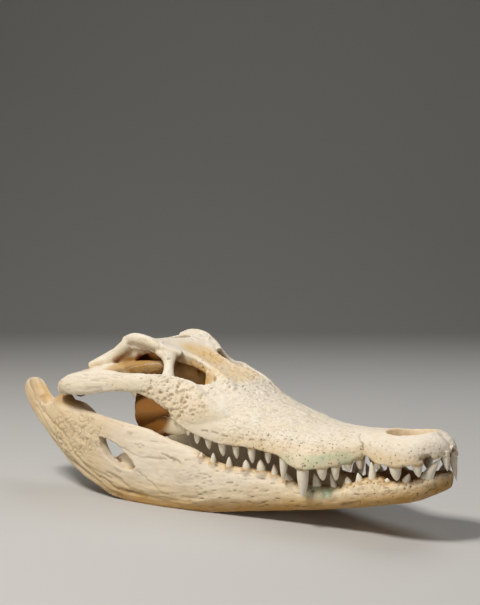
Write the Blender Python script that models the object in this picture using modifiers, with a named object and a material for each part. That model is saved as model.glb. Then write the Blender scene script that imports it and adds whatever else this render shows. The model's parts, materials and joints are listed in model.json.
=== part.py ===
"""A crocodile skull: cranium and lower jaw, life size, resting on its jaw with the mouth a little open.

+X is the snout, +Y the animal's left, +Z up. All tables are fractions of the head length. Places along the
head run from the rear edge of the skull table (0) to the tip of the snout (1). Heights start at the floor.
"""
import math

import bmesh
import bpy
import numpy as np
from mathutils import Matrix, Vector

# Driving dimensions, in metres
HEAD_LENGTH = 0.400
SUTURE_GAP = 0.0003
VOXEL = 0.0020

# Facets of the cranium and of each half of the lower jaw, before the teeth are joined on
CRANIUM_TRIANGLES = 3500
HALF_JAW_TRIANGLES = 750

# Fractions of the head length
REAR_OF_JAW = -0.313
MIDDLE = (1.0 + REAR_OF_JAW) / 2

COLLECTION_NAME = "crocodile_skull"
BONE_COLOUR = (0.78, 0.68, 0.50)
BONE_ROUGHNESS = 0.55


def profile(*points):
    """A smooth value along the head through (place, value) pairs, with no overshoot between them."""
    places = np.array([p[0] for p in points], dtype=float)
    values = np.array([p[1] for p in points], dtype=float)
    steps = np.diff(places)
    slopes = np.diff(values) / steps
    tangents = np.empty_like(values)
    tangents[0], tangents[-1] = slopes[0], slopes[-1]
    same_way = slopes[:-1] * slopes[1:] > 0
    total = np.where(same_way, slopes[:-1] + slopes[1:], 1.0)
    tangents[1:-1] = np.where(same_way, 2 * slopes[:-1] * slopes[1:] / total, 0.0)

    def value(x):
        i = np.clip(np.searchsorted(places, x, side="right") - 1, 0, len(steps) - 1)
        t = np.clip((x - places[i]) / steps[i], 0.0, 1.0)
        rise = (2 * t**3 - 3 * t**2 + 1) * values[i] + (3 * t**2 - 2 * t**3) * values[i + 1]
        bend = (t**3 - 2 * t**2 + t) * tangents[i] + (t**3 - t**2) * tangents[i + 1]
        return rise + steps[i] * bend

    return value


def signed_power(value, power):
    return np.sign(value) * np.abs(value) ** power


def mesh_from_rings(name, rings):
    """A closed solid lofted through rings of equal point counts, each running the same way round."""
    bm = bmesh.new()
    loops = [[bm.verts.new(point) for point in ring] for ring in rings]
    for first, second in zip(loops, loops[1:]):
        for k in range(len(first)):
            after = (k + 1) % len(first)
            bm.faces.new((first[k], first[after], second[after], second[k]))
    bm.faces.new(reversed(loops[0]))
    bm.faces.new(loops[-1])
    bmesh.ops.triangulate(bm, faces=bm.faces)
    bmesh.ops.recalc_face_normals(bm, faces=bm.faces)
    mesh = bpy.data.meshes.new(name)
    bm.to_mesh(mesh)
    bm.free()
    return mesh


def strut(name, *stations, steps=6, power=2.0, sides=14):
    """A bar or plate along a smooth path. A station is (x, y, z, half width, half height, roll)."""
    table = np.array([tuple(s) + (0.0,) * (6 - len(s)) for s in stations], dtype=float)
    padded = np.vstack([2 * table[0] - table[1], table, 2 * table[-1] - table[-2]])
    rows = []
    for i in range(1, len(padded) - 2):
        for t in np.arange(steps) / steps:
            a, b, c, d = padded[i - 1:i + 3]
            rows.append(0.5 * (2 * b + (c - a) * t + (2 * a - 5 * b + 4 * c - d) * t**2
                               + (3 * b - a - 3 * c + d) * t**3))
    rows.append(table[-1])
    rows = np.array(rows)
    tangents = np.gradient(rows[:, :3], axis=0)
    rings = []
    for row, tangent in zip(rows, tangents):
        tangent = Vector(tangent).normalized()
        side = tangent.cross(Vector((0, 0, 1))).normalized()
        upward = side.cross(tangent)
        turn = Matrix.Rotation(math.radians(row[5]), 3, tangent)
        side, upward = turn @ side, turn @ upward
        ring = []
        for k in range(sides):
            angle = 2 * math.pi * k / sides
            across = signed_power(math.cos(angle), 2 / power) * row[3]
            along = signed_power(math.sin(angle), 2 / power) * row[4]
            ring.append(Vector(row[:3]) + side * across + upward * along)
        rings.append(ring)
    return mesh_from_rings(name, rings)


def ball(name, centre, radii, turn=(0, 0, 0), segments=24):
    """An ellipsoid, turned by Euler angles in degrees."""
    bm = bmesh.new()
    bmesh.ops.create_uvsphere(bm, u_segments=segments, v_segments=segments // 2, radius=1.0)
    place = Matrix.LocRotScale(
        Vector(centre),
        Matrix.Rotation(math.radians(turn[2]), 3, "Z")
        @ Matrix.Rotation(math.radians(turn[1]), 3, "Y")
        @ Matrix.Rotation(math.radians(turn[0]), 3, "X"),
        Vector(radii),
    )
    bmesh.ops.transform(bm, matrix=place, verts=bm.verts)
    bmesh.ops.triangulate(bm, faces=bm.faces)
    mesh = bpy.data.meshes.new(name)
    bm.to_mesh(mesh)
    bm.free()
    return mesh


def mirrored(mesh):
    """The same mesh on the other side of the midplane."""
    other = mesh.copy()
    other.transform(Matrix.Diagonal((1, -1, 1, 1)))
    other.flip_normals()
    return other


def pair(mesh):
    return [mesh, mirrored(mesh)]


def joined(name, meshes):
    bm = bmesh.new()
    for mesh in meshes:
        bm.from_mesh(mesh)
    whole = bpy.data.meshes.new(name)
    bm.to_mesh(whole)
    bm.free()
    return whole


def evaluated(obj):
    """The object's mesh as its modifiers leave it."""
    bpy.context.view_layer.update()
    return bpy.data.meshes.new_from_object(obj.evaluated_get(bpy.context.evaluated_depsgraph_get()))


def new_object(name, mesh, collection):
    obj = bpy.data.objects.new(name, mesh)
    collection.objects.link(obj)
    return obj


def cut_away(mesh, cutters, collection, operation="DIFFERENCE"):
    """The mesh less each cutter in turn. Other operations join them or keep what lies inside."""
    body = new_object("being_cut", mesh, collection)
    tools = [new_object("cutter", cutter, collection) for cutter in cutters]
    for tool in tools:
        step = body.modifiers.new("cut", "BOOLEAN")
        step.operation = operation
        step.solver = "MANIFOLD"
        step.object = tool
    result = evaluated(body)
    for obj in [body] + tools:
        bpy.data.objects.remove(obj)
    return result


def largest_shell(mesh):
    """Only the outer shell: loose scraps and sealed hollows are dropped."""
    bm = bmesh.new()
    bm.from_mesh(mesh)
    unseen = set(bm.verts)
    shells = []
    while unseen:
        stack = [unseen.pop()]
        shell = set(stack)
        while stack:
            for edge in stack.pop().link_edges:
                for vert in edge.verts:
                    if vert in unseen:
                        unseen.remove(vert)
                        shell.add(vert)
                        stack.append(vert)
        shells.append(shell)
    biggest = max(shells, key=len)
    bmesh.ops.delete(bm, geom=[vert for vert in bm.verts if vert not in biggest], context="VERTS")
    bm.to_mesh(mesh)
    bm.free()
    return mesh


def grown_together(name, meshes, triangles, smoothing, collection):
    """One closed skin round all the given solids, thinned to a number of triangles."""
    body = new_object(name, joined(name, meshes), collection)
    skin = body.modifiers.new("skin", "REMESH")
    skin.mode = "VOXEL"
    skin.voxel_size = VOXEL / HEAD_LENGTH
    soft = body.modifiers.new("soft", "SMOOTH")
    soft.factor = 0.5
    soft.iterations = smoothing
    fine = largest_shell(evaluated(body))
    fine.calc_loop_triangles()
    body.modifiers.clear()
    body.data = fine
    thin = body.modifiers.new("thin", "DECIMATE")
    thin.ratio = triangles / len(fine.loop_triangles)
    thin.use_collapse_triangulate = True
    result = evaluated(body)
    bpy.data.objects.remove(body)
    return largest_shell(result)


# ---- Snout: premaxillae, maxillae and nasals, solid down to the palate

snout_half_width = profile(
    (0.29, 0.200), (0.33, 0.192), (0.37, 0.184), (0.42, 0.175), (0.46, 0.166), (0.50, 0.158), (0.55, 0.149),
    (0.60, 0.145), (0.64, 0.146), (0.68, 0.145), (0.71, 0.135), (0.75, 0.112), (0.78, 0.092), (0.81, 0.076),
    (0.835, 0.080), (0.87, 0.091), (0.90, 0.095), (0.93, 0.090), (0.955, 0.077), (0.975, 0.057),
    (0.990, 0.034), (1.0, 0.010))
tooth_line = profile(
    (0.29, 0.240), (0.334, 0.216), (0.368, 0.203), (0.40, 0.194), (0.45, 0.185), (0.50, 0.185), (0.548, 0.181),
    (0.606, 0.173), (0.641, 0.155), (0.682, 0.151), (0.726, 0.158), (0.752, 0.164), (0.781, 0.177),
    (0.809, 0.191), (0.845, 0.178), (0.904, 0.181), (0.956, 0.193), (0.985, 0.204), (1.0, 0.212))
snout_top = profile(
    (0.29, 0.352), (0.335, 0.350), (0.37, 0.340), (0.40, 0.328), (0.45, 0.305), (0.49, 0.290), (0.53, 0.277),
    (0.575, 0.263), (0.61, 0.253), (0.653, 0.244), (0.70, 0.240), (0.75, 0.241), (0.82, 0.245), (0.87, 0.252),
    (0.945, 0.257), (0.965, 0.252), (0.982, 0.243), (0.994, 0.229), (1.0, 0.219))
snout_squareness = profile((0.29, 2.6), (0.36, 2.2), (0.40, 2.0), (0.60, 2.0), (0.70, 2.1), (0.80, 2.3),
                           (0.90, 2.6), (1.0, 2.4))
SNOUT_RING_POINTS = 28
PALATE_RING_POINTS = 9
PALATE_VAULT = 0.016
PALATE_SHARE = 0.80
SNOUT_STATIONS = np.concatenate([np.linspace(0.29, 0.93, 44), np.linspace(0.94, 1.0, 13)])


def snout_ring(x):
    """Domed above the tooth line, vaulted along the palate below it."""
    half_width, low, high = snout_half_width(x), tooth_line(x), snout_top(x)
    power = 2 / snout_squareness(x)
    ring = []
    for angle in np.linspace(0, math.pi, SNOUT_RING_POINTS):
        across = -half_width * signed_power(math.cos(angle), power)
        ring.append((x, across, low + (high - low) * abs(math.sin(angle)) ** power))
    for share in np.linspace(PALATE_SHARE, -PALATE_SHARE, PALATE_RING_POINTS):
        vault = PALATE_VAULT * (1 - (share / PALATE_SHARE) ** 2)
        ring.append((x, half_width * share, low + vault))
    return ring


def naris_cutter():
    return ball("naris", (0.890, 0, 0.264), (0.063, 0.056, 0.056))


def tusk_notch_cutter():
    """The notch in the premaxilla's edge that takes the first lower tooth on each side."""
    return ball("tusk_notch", (0.963, -0.064, 0.193), (0.014, 0.028, 0.021))


def orbit_cutter():
    """Each eye socket opens upwards and outwards."""
    return ball("orbit", (0.278, -0.110, 0.370), (0.088, 0.046, 0.085), turn=(16, 11, 6))


# ---- Skull roof: frontal, parietal, postorbitals and squamosals

roof_half_width = profile(
    (-0.015, 0.100), (0.0, 0.119), (0.05, 0.128), (0.10, 0.127), (0.145, 0.122), (0.172, 0.113), (0.192, 0.095),
    (0.212, 0.076), (0.25, 0.055), (0.30, 0.057), (0.335, 0.067), (0.37, 0.085), (0.41, 0.095))
roof_rim = profile(
    (-0.015, 0.398), (0.0, 0.411), (0.02, 0.428), (0.045, 0.444), (0.07, 0.453), (0.095, 0.455), (0.13, 0.446),
    (0.16, 0.432), (0.19, 0.420), (0.225, 0.403), (0.262, 0.388), (0.30, 0.371), (0.335, 0.360), (0.37, 0.345),
    (0.41, 0.318))
roof_middle = profile(
    (-0.015, 0.398), (0.0, 0.408), (0.05, 0.425), (0.10, 0.427), (0.16, 0.419), (0.19, 0.407), (0.262, 0.377),
    (0.30, 0.362), (0.335, 0.351), (0.37, 0.339), (0.41, 0.316))
roof_thickness = profile(
    (-0.015, 0.02), (0.0, 0.032), (0.10, 0.034), (0.16, 0.038), (0.21, 0.042), (0.28, 0.042), (0.34, 0.046),
    (0.41, 0.052))
ROOF_STATIONS = np.linspace(-0.015, 0.41, 40)
ROOF_TOP_POINTS = 15
ROOF_UNDER_POINTS = 9
ROOF_DISH_POWER = 2.5
ROOF_EDGE_START = 0.8
ROOF_EDGE_DROP = 0.3
ROOF_UNDER_WIDTH = 0.94
ROOF_UNDER_ARCH = 0.01


def roof_ring(x):
    """Dished between raised rims, its edges rounded down."""
    half_width, rim, middle, thick = roof_half_width(x), roof_rim(x), roof_middle(x), roof_thickness(x)
    ring = []
    for share in np.linspace(-1, 1, ROOF_TOP_POINTS):
        dip = (rim - middle) * (1 - abs(share) ** ROOF_DISH_POWER)
        edge = ROOF_EDGE_DROP * thick * max(0.0, abs(share) - ROOF_EDGE_START) / (1 - ROOF_EDGE_START)
        ring.append((x, half_width * share, rim - dip - edge))
    for share in np.linspace(1, -1, ROOF_UNDER_POINTS):
        ring.append((x, half_width * share * ROOF_UNDER_WIDTH, middle - thick + ROOF_UNDER_ARCH * abs(share)))
    return ring


def fenestra_cutter():
    """The supratemporal fenestra, a rounded hole down through the skull table on each side."""
    return ball("supratemporal_fenestra", (0.080, -0.058, 0.42), (0.036, 0.024, 0.07), turn=(0, 0, -12))


# ---- The rest of the cranium. Side bones are given for the animal's right

PLATE_SIDES = 23
QUADRATE_CORNER = 0.7
WING_CORNER = 0.8


def plate(name, rows, ring_point):
    """A thin bone lofted through sections that ring_point(angle, row) draws."""
    angles = np.linspace(0, 2 * math.pi, PLATE_SIDES + 1)[:-1]
    return mesh_from_rings(name, [[ring_point(angle, row) for angle in angles] for row in rows])


def braincase_point(angle, row):
    x, half_width, middle, half_height = row
    return x, half_width * math.cos(angle), middle + half_height * math.sin(angle)


def quadrate_point(angle, row):
    x, outer, inner, level, lean, thick = row
    across, up = signed_power(math.cos(angle), QUADRATE_CORNER), signed_power(math.sin(angle), QUADRATE_CORNER)
    return x, (outer + inner) / 2 + (outer - inner) / 2 * across, level + lean * math.cos(angle) + thick * up


def wing_point(angle, row):
    y, rear, front, level, thick = row
    along, up = signed_power(math.cos(angle), WING_CORNER), signed_power(math.sin(angle), WING_CORNER)
    return (front + rear) / 2 + (front - rear) / 2 * along, y, level + thick * up


def middle_bones(collection):
    orbits = pair(orbit_cutter())
    snout = mesh_from_rings("snout", [snout_ring(x) for x in SNOUT_STATIONS])
    snout = cut_away(snout, orbits + [naris_cutter()] + pair(tusk_notch_cutter()), collection)
    roof = mesh_from_rings("roof", [roof_ring(x) for x in ROOF_STATIONS])
    roof = cut_away(roof, orbits + pair(fenestra_cutter()), collection)
    return [
        snout,
        roof,
        plate("braincase", (
            (-0.030, 0.040, 0.350, 0.055), (-0.010, 0.052, 0.345, 0.070), (0.04, 0.056, 0.345, 0.075),
            (0.10, 0.050, 0.350, 0.070), (0.16, 0.030, 0.355, 0.055), (0.22, 0.016, 0.350, 0.040)),
            braincase_point),
        ball("condyle", (-0.046, 0, 0.335), (0.018, 0.018, 0.017)),
        strut("basioccipital",
              (0.0, 0, 0.33, 0.045, 0.020), (-0.004, 0, 0.295, 0.042, 0.018), (0.012, 0, 0.258, 0.035, 0.018)),
        strut("palatines",
              (0.40, 0, 0.225, 0.070, 0.016), (0.33, 0, 0.235, 0.042, 0.018), (0.26, 0, 0.240, 0.034, 0.020),
              (0.20, 0, 0.247, 0.045, 0.020), (0.10, 0, 0.256, 0.055, 0.020), (0.02, 0, 0.266, 0.040, 0.020)),
        strut("sphenoid", (0.05, 0, 0.30, 0.030, 0.05), (0.16, 0, 0.30, 0.018, 0.05),
              (0.25, 0, 0.305, 0.011, 0.036)),
    ]


def right_side_bones():
    return [
        strut("lower_bar",
              (0.50, -0.116, 0.226, 0.008, 0.010), (0.46, -0.128, 0.232, 0.012, 0.018),
              (0.42, -0.140, 0.242, 0.017, 0.028, 14), (0.36, -0.160, 0.262, 0.020, 0.044, 26),
              (0.31, -0.166, 0.288, 0.017, 0.052, 28), (0.255, -0.184, 0.310, 0.015, 0.043, 30),
              (0.200, -0.212, 0.324, 0.016, 0.028, 24), (0.150, -0.226, 0.325, 0.015, 0.027, 24),
              (0.09, -0.234, 0.324, 0.015, 0.031, 24), (0.03, -0.240, 0.318, 0.018, 0.035, 26),
              (-0.03, -0.242, 0.309, 0.022, 0.033, 26), (-0.075, -0.243, 0.302, 0.020, 0.024, 20),
              (-0.100, -0.244, 0.298, 0.012, 0.012)),
        strut("postorbital_bar",
              (0.168, -0.080, 0.404, 0.040, 0.014), (0.186, -0.097, 0.397, 0.036, 0.015),
              (0.200, -0.109, 0.380, 0.020, 0.013), (0.212, -0.122, 0.361, 0.014, 0.012),
              (0.226, -0.139, 0.345, 0.016, 0.013), (0.243, -0.163, 0.322, 0.026, 0.016)),
        strut("table_lip",
              (0.030, -0.116, 0.424, 0.013, 0.014), (0.070, -0.119, 0.435, 0.014, 0.016),
              (0.115, -0.119, 0.432, 0.014, 0.016), (0.155, -0.112, 0.417, 0.015, 0.014),
              (0.190, -0.096, 0.403, 0.014, 0.012), (0.220, -0.078, 0.395, 0.010, 0.008)),
        strut("squamosal_horn",
              (0.05, -0.114, 0.418, 0.020, 0.022), (0.012, -0.127, 0.388, 0.018, 0.020),
              (-0.012, -0.139, 0.366, 0.017, 0.019), (-0.035, -0.150, 0.360, 0.016, 0.016),
              (-0.066, -0.166, 0.348, 0.012, 0.012)),
        strut("ear_wall",
              (0.165, -0.098, 0.410, 0.012, 0.020), (0.120, -0.098, 0.410, 0.012, 0.018),
              (0.078, -0.100, 0.402, 0.012, 0.019), (0.030, -0.112, 0.384, 0.012, 0.032),
              (-0.020, -0.137, 0.364, 0.012, 0.026), (-0.060, -0.160, 0.350, 0.010, 0.014)),
        strut("paroccipital_process",
              (0.0, -0.03, 0.365, 0.022, 0.040), (-0.012, -0.090, 0.362, 0.016, 0.034),
              (-0.040, -0.140, 0.352, 0.014, 0.024), (-0.062, -0.166, 0.343, 0.012, 0.014)),
        plate("quadrate", (
            (0.178, -0.098, -0.050, 0.364, 0.0, 0.014), (0.155, -0.106, -0.050, 0.358, 0.0, 0.019),
            (0.125, -0.118, -0.055, 0.351, 0.0, 0.022), (0.09, -0.138, -0.060, 0.345, 0.0, 0.025),
            (0.05, -0.185, -0.060, 0.340, -0.004, 0.024), (0.0, -0.232, -0.085, 0.336, -0.008, 0.020),
            (-0.05, -0.248, -0.125, 0.320, -0.006, 0.023), (-0.085, -0.250, -0.145, 0.304, 0.0, 0.026),
            (-0.105, -0.246, -0.150, 0.294, 0.0, 0.022), (-0.118, -0.236, -0.160, 0.288, 0.0, 0.012)),
            quadrate_point),
        strut("prefrontal_pillar",
              (0.345, -0.040, 0.340, 0.016, 0.026), (0.340, -0.046, 0.300, 0.012, 0.022),
              (0.335, -0.040, 0.250, 0.014, 0.026)),
        ball("outer_condyle", (-0.100, -0.228, 0.287), (0.020, 0.026, 0.021)),
        ball("inner_condyle", (-0.100, -0.172, 0.281), (0.022, 0.026, 0.024)),
        plate("pterygoid_wing", (
            (-0.02, 0.000, 0.26, 0.268, 0.016), (-0.07, 0.026, 0.235, 0.266, 0.014),
            (-0.11, 0.062, 0.235, 0.243, 0.013), (-0.145, 0.101, 0.255, 0.212, 0.013),
            (-0.166, 0.142, 0.258, 0.190, 0.013), (-0.177, 0.160, 0.232, 0.184, 0.010)),
            wing_point),
        strut("ectopterygoid",
              (0.350, -0.166, 0.230, 0.020, 0.020), (0.310, -0.172, 0.226, 0.013, 0.030),
              (0.265, -0.167, 0.218, 0.013, 0.031), (0.215, -0.165, 0.200, 0.013, 0.023),
              (0.165, -0.163, 0.192, 0.012, 0.012)),
    ]


CRANIUM_SMOOTHING = 3


def build_cranium(collection):
    bones = middle_bones(collection)
    for bone in right_side_bones():
        bones += pair(bone)
    return grown_together("cranium", bones, CRANIUM_TRIANGLES, CRANIUM_SMOOTHING, collection)


# ---- Lower jaw

jaw_outer = profile(
    (-0.313, 0.214), (-0.29, 0.226), (-0.25, 0.235), (-0.20, 0.240), (-0.12, 0.248), (-0.05, 0.252), (0.0, 0.250),
    (0.10, 0.243), (0.20, 0.228), (0.30, 0.207), (0.40, 0.180), (0.50, 0.151), (0.60, 0.124), (0.65, 0.112),
    (0.70, 0.102), (0.75, 0.094), (0.80, 0.089), (0.85, 0.088), (0.90, 0.080), (0.94, 0.066), (0.965, 0.050),
    (0.980, 0.034), (0.990, 0.016))
jaw_thickness = profile(
    (-0.313, 0.022), (-0.29, 0.046), (-0.25, 0.060), (-0.20, 0.064), (-0.12, 0.078), (-0.06, 0.075),
    (0.0, 0.036), (0.10, 0.030), (0.20, 0.036), (0.30, 0.044), (0.40, 0.050), (0.50, 0.050), (0.60, 0.052),
    (0.70, 0.062), (0.76, 0.080), (0.79, 0.092), (0.80, 0.095))
jaw_bottom = profile(
    (-0.313, 0.255), (-0.26, 0.196), (-0.20, 0.148), (-0.121, 0.090), (-0.064, 0.058), (0.014, 0.031),
    (0.069, 0.015), (0.125, 0.004), (0.16, -0.003), (0.28, -0.006), (0.37, -0.003), (0.423, 0.005),
    (0.526, 0.018), (0.619, 0.031), (0.689, 0.042), (0.752, 0.053), (0.813, 0.066), (0.872, 0.081),
    (0.924, 0.096), (0.959, 0.110), (0.976, 0.120), (0.990, 0.132))
jaw_top = profile(
    (-0.313, 0.272), (-0.30, 0.298), (-0.279, 0.308), (-0.255, 0.299), (-0.22, 0.264), (-0.19, 0.250),
    (-0.16, 0.256), (-0.125, 0.272), (-0.10, 0.250), (-0.05, 0.240), (0.048, 0.229), (0.133, 0.216),
    (0.207, 0.206), (0.25, 0.191), (0.306, 0.175), (0.359, 0.158), (0.39, 0.141), (0.42, 0.132), (0.465, 0.126),
    (0.516, 0.125), (0.554, 0.123), (0.586, 0.115), (0.622, 0.105), (0.696, 0.101), (0.741, 0.110),
    (0.773, 0.123), (0.80, 0.135), (0.842, 0.144), (0.871, 0.139), (0.906, 0.148), (0.94, 0.155),
    (0.975, 0.164), (0.990, 0.164))
JAW_STATIONS = np.concatenate([np.linspace(-0.313, -0.05, 22), np.linspace(-0.03, 0.93, 52),
                               np.linspace(0.94, 0.990, 10)])
FENESTRA_OUTLINE = ((0.058, 0.168), (0.068, 0.143), (0.085, 0.120), (0.117, 0.102), (0.144, 0.092),
                    (0.177, 0.089), (0.193, 0.101), (0.180, 0.117), (0.158, 0.133), (0.127, 0.153),
                    (0.096, 0.165), (0.070, 0.170))
FENESTRA_REACH = (-0.30, -0.19)
JAW_RING_POINTS = 27
JAW_LEAN = 0.014
TOP_LEAN_SHARE = 0.4
SYMPHYSIS_START = 0.80
MIDPLANE_OVERLAP = 0.004
jaw_corner = profile((-0.313, 0.80), (-0.10, 0.72), (0.60, 0.66), (0.80, 0.52), (0.94, 0.50), (0.990, 0.60))
jaw_lean = profile((-0.313, 0.4), (0.0, 1.0), (0.85, 1.0), (0.990, 0.3))


def jaw_ring(x):
    """The right side's section: taller than wide, its lower border nearer the midline than its side."""
    outer, low, high = jaw_outer(x), jaw_bottom(x), jaw_top(x)
    inner = outer - jaw_thickness(x) if x < SYMPHYSIS_START else -MIDPLANE_OVERLAP
    inner = max(inner, -MIDPLANE_OVERLAP)
    corner = jaw_corner(x)
    ring = []
    for angle in np.linspace(0, 2 * math.pi, JAW_RING_POINTS + 1)[:-1]:
        across = signed_power(math.cos(angle), corner)
        up = signed_power(math.sin(angle), corner)
        lean = JAW_LEAN * jaw_lean(x) * up * up if across > 0 else 0.0
        if up > 0:
            lean *= TOP_LEAN_SHARE
        y = (outer + inner) / 2 + (outer - inner) / 2 * across - lean
        ring.append((x, -y, (low + high) / 2 + (high - low) / 2 * up))
    return ring


JAW_SMOOTHING = 3


def build_jaw(collection):
    """The animal's right half of the lower jaw; the left is its mirror image."""
    ramus = mesh_from_rings("ramus", [jaw_ring(x) for x in JAW_STATIONS])
    sides = [[(x, y, z) for x, z in FENESTRA_OUTLINE] for y in FENESTRA_REACH]
    fenestra = mesh_from_rings("jaw_fenestra", sides)
    trough = strut("trough",
                   (-0.300, -0.205, 0.345, 0.012, 0.012), (-0.272, -0.208, 0.312, 0.021, 0.024),
                   (-0.235, -0.213, 0.280, 0.024, 0.028), (-0.195, -0.218, 0.254, 0.024, 0.026),
                   (-0.160, -0.224, 0.266, 0.016, 0.020))
    glenoid = strut("glenoid", (-0.100, -0.262, 0.293, 0.026, 0.026), (-0.100, -0.150, 0.285, 0.028, 0.030))
    articular = strut("articular",
                      (-0.135, -0.200, 0.215, 0.040, 0.040), (-0.085, -0.195, 0.215, 0.050, 0.030),
                      (-0.05, -0.185, 0.190, 0.030, 0.030), (0.0, -0.200, 0.110, 0.014, 0.034),
                      (0.055, -0.204, 0.055, 0.012, 0.030), (0.100, -0.200, 0.064, 0.010, 0.048),
                      (0.140, -0.195, 0.075, 0.010, 0.056), (0.21, -0.180, 0.075, 0.012, 0.058),
                      (0.32, -0.160, 0.080, 0.012, 0.055))
    ramus = cut_away(ramus, [fenestra, trough, glenoid], collection)
    articular = cut_away(articular, [glenoid], collection)
    return grown_together("jaw", [ramus, articular], HALF_JAW_TRIANGLES, JAW_SMOOTHING, collection)


# ---- Teeth. Each row: place along the head, socket height, tip height, radius, how far the tip leans forward

UPPER_TEETH = (
    (0.335, 0.216, 0.194, 0.0076, -0.004), (0.361, 0.206, 0.175, 0.0093, -0.002),
    (0.394, 0.195, 0.165, 0.0093, 0.002), (0.434, 0.188, 0.151, 0.0103, 0.003),
    (0.473, 0.185, 0.149, 0.0093, 0.002), (0.517, 0.184, 0.142, 0.0104, 0.002),
    (0.565, 0.181, 0.146, 0.0091, -0.002), (0.612, 0.171, 0.111, 0.0104, -0.004),
    (0.669, 0.152, 0.078, 0.0141, 0.000), (0.715, 0.157, 0.125, 0.0122, 0.003),
    (0.743, 0.162, 0.126, 0.0103, 0.001), (0.767, 0.170, 0.150, 0.0101, 0.002),
    (0.790, 0.181, 0.154, 0.0091, 0.001), (0.837, 0.179, 0.159, 0.0085, 0.000),
    (0.892, 0.180, 0.145, 0.0133, 0.003), (0.942, 0.189, 0.159, 0.0106, 0.004))
FRONT_UPPER_TEETH = (
    (0.989, -0.020, 0.207, 0.172, 0.0095, 0.004), (0.988, 0.019, 0.203, 0.144, 0.0095, 0.009))
LOWER_TEETH = (
    (0.376, 0.142, 0.157, 0.0063, 0.002), (0.409, 0.131, 0.159, 0.0087, 0.002),
    (0.452, 0.123, 0.153, 0.0089, 0.002), (0.498, 0.122, 0.149, 0.0112, 0.000),
    (0.537, 0.121, 0.154, 0.0123, 0.000), (0.572, 0.115, 0.145, 0.0089, 0.000),
    (0.612, 0.104, 0.126, 0.0106, -0.010), (0.683, 0.099, 0.133, 0.0106, -0.006),
    (0.727, 0.103, 0.137, 0.0080, -0.010), (0.764, 0.117, 0.136, 0.0089, -0.003),
    (0.793, 0.128, 0.148, 0.0082, -0.003), (0.828, 0.138, 0.179, 0.0090, -0.002),
    (0.866, 0.134, 0.147, 0.0085, 0.002), (0.910, 0.142, 0.164, 0.0090, 0.010))
FRONT_LOWER_TOOTH = (0.955, -0.045, 0.150, 0.199, 0.0140, 0.030)
FRONT_LOWER_TIP_Y = -0.039
UPPER_SOCKET_INSET = 0.017
LOWER_SOCKET_INSET = 0.018
LOWER_TIP_SPLAY = 0.3
ROOT_DEPTH = 0.014
TOOTH_SIDES = 5
TOOTH_RINGS = ((0.55, 0.80), (1.0, 0.0))
TOOTH_WIDTH = 1.15
TOOTH_BEND = 1.5
SAME_POINT = 1e-6


def tooth(x, y, socket, tip, radius, lean, tip_y=None):
    """A bluntly curved cone whose root is sunk in the bone."""
    way_up = 1 if tip > socket else -1
    tip_y = y if tip_y is None else tip_y
    sections = [(x, y, socket - way_up * ROOT_DEPTH, 1.0)]
    for share, size in TOOTH_RINGS:
        sections.append((x + lean * share ** TOOTH_BEND, y + (tip_y - y) * share,
                         socket + (tip - socket) * share, size))
    angles = np.linspace(0, 2 * math.pi, TOOTH_SIDES + 1)[:-1]
    reach = radius * TOOTH_WIDTH
    rings = [[(centre_x + reach * size * math.cos(a), centre_y + reach * size * math.sin(a), height)
              for a in angles]
             for centre_x, centre_y, height, size in sections]
    mesh = mesh_from_rings("tooth", rings)
    bm = bmesh.new()
    bm.from_mesh(mesh)
    bmesh.ops.remove_doubles(bm, verts=bm.verts, dist=SAME_POINT)
    bm.to_mesh(mesh)
    bm.free()
    return mesh


def upper_teeth():
    teeth = []
    for x, socket, tip, radius, lean in UPPER_TEETH:
        teeth += pair(tooth(x, -(snout_half_width(x) - UPPER_SOCKET_INSET), socket, tip, radius, lean))
    return teeth + [tooth(*row) for row in FRONT_UPPER_TEETH]


def right_lower_teeth():
    teeth = []
    for x, socket, tip, radius, lean in LOWER_TEETH:
        y = -(jaw_outer(x) - LOWER_SOCKET_INSET)
        teeth.append(tooth(x, y, socket, tip, radius, lean, tip_y=y - LOWER_TIP_SPLAY * radius))
    return teeth + [tooth(*FRONT_LOWER_TOOTH, tip_y=FRONT_LOWER_TIP_Y)]


# ---- Parting into bones

def box(name, low, high, pivot=(0, 0, 0), turn=(0, 0, 0), growth=0.0):
    """A box between two corners, turned about a pivot by Euler angles in degrees."""
    low, high, pivot = Vector(low), Vector(high), Vector(pivot)
    size = high - low + Vector((growth, growth, growth)) * 2
    rotation = (Matrix.Rotation(math.radians(turn[2]), 4, "Z") @ Matrix.Rotation(math.radians(turn[1]), 4, "Y")
                @ Matrix.Rotation(math.radians(turn[0]), 4, "X"))
    place = (Matrix.Translation(pivot) @ rotation @ Matrix.Translation((low + high) / 2 - pivot)
             @ Matrix.Diagonal((*size, 1)))
    bm = bmesh.new()
    bmesh.ops.create_cube(bm, size=1.0, matrix=place)
    mesh = bpy.data.meshes.new(name)
    bm.to_mesh(mesh)
    bm.free()
    return mesh


# The regions the cranium is parted into, in the order they are taken. Each: name, corners, pivot, turn
CRANIUM_REGIONS = (
    ("rostrum", (0.345, -0.30, 0.05), (1.10, 0.30, 0.60), (0.345, 0, 0.285), (0, 19.5, 0)),
    ("jugal_arch_right", (-0.25, -0.36, 0.236), (0.45, -0.1925, 0.366), (0.115, -0.1925, 0.3), (0, 0, 11.2)),
    ("jugal_arch_left", (-0.25, 0.1925, 0.236), (0.45, 0.36, 0.366), (0.115, 0.1925, 0.3), (0, 0, -11.2)),
    ("pterygoids", (-0.02, -0.30, 0.10), (0.60, 0.30, 0.283), (0, 0, 0), (0, 0, 0)),
    ("quadrate_right", (-0.25, -0.40, 0.15), (0.20, -0.098, 0.340), (0, -0.17, 0.340), (22, 0, 0)),
    ("quadrate_left", (-0.25, 0.098, 0.15), (0.20, 0.40, 0.340), (0, 0.17, 0.340), (-22, 0, 0)),
)
LAST_REGION = "braincase_and_roof"


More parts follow.
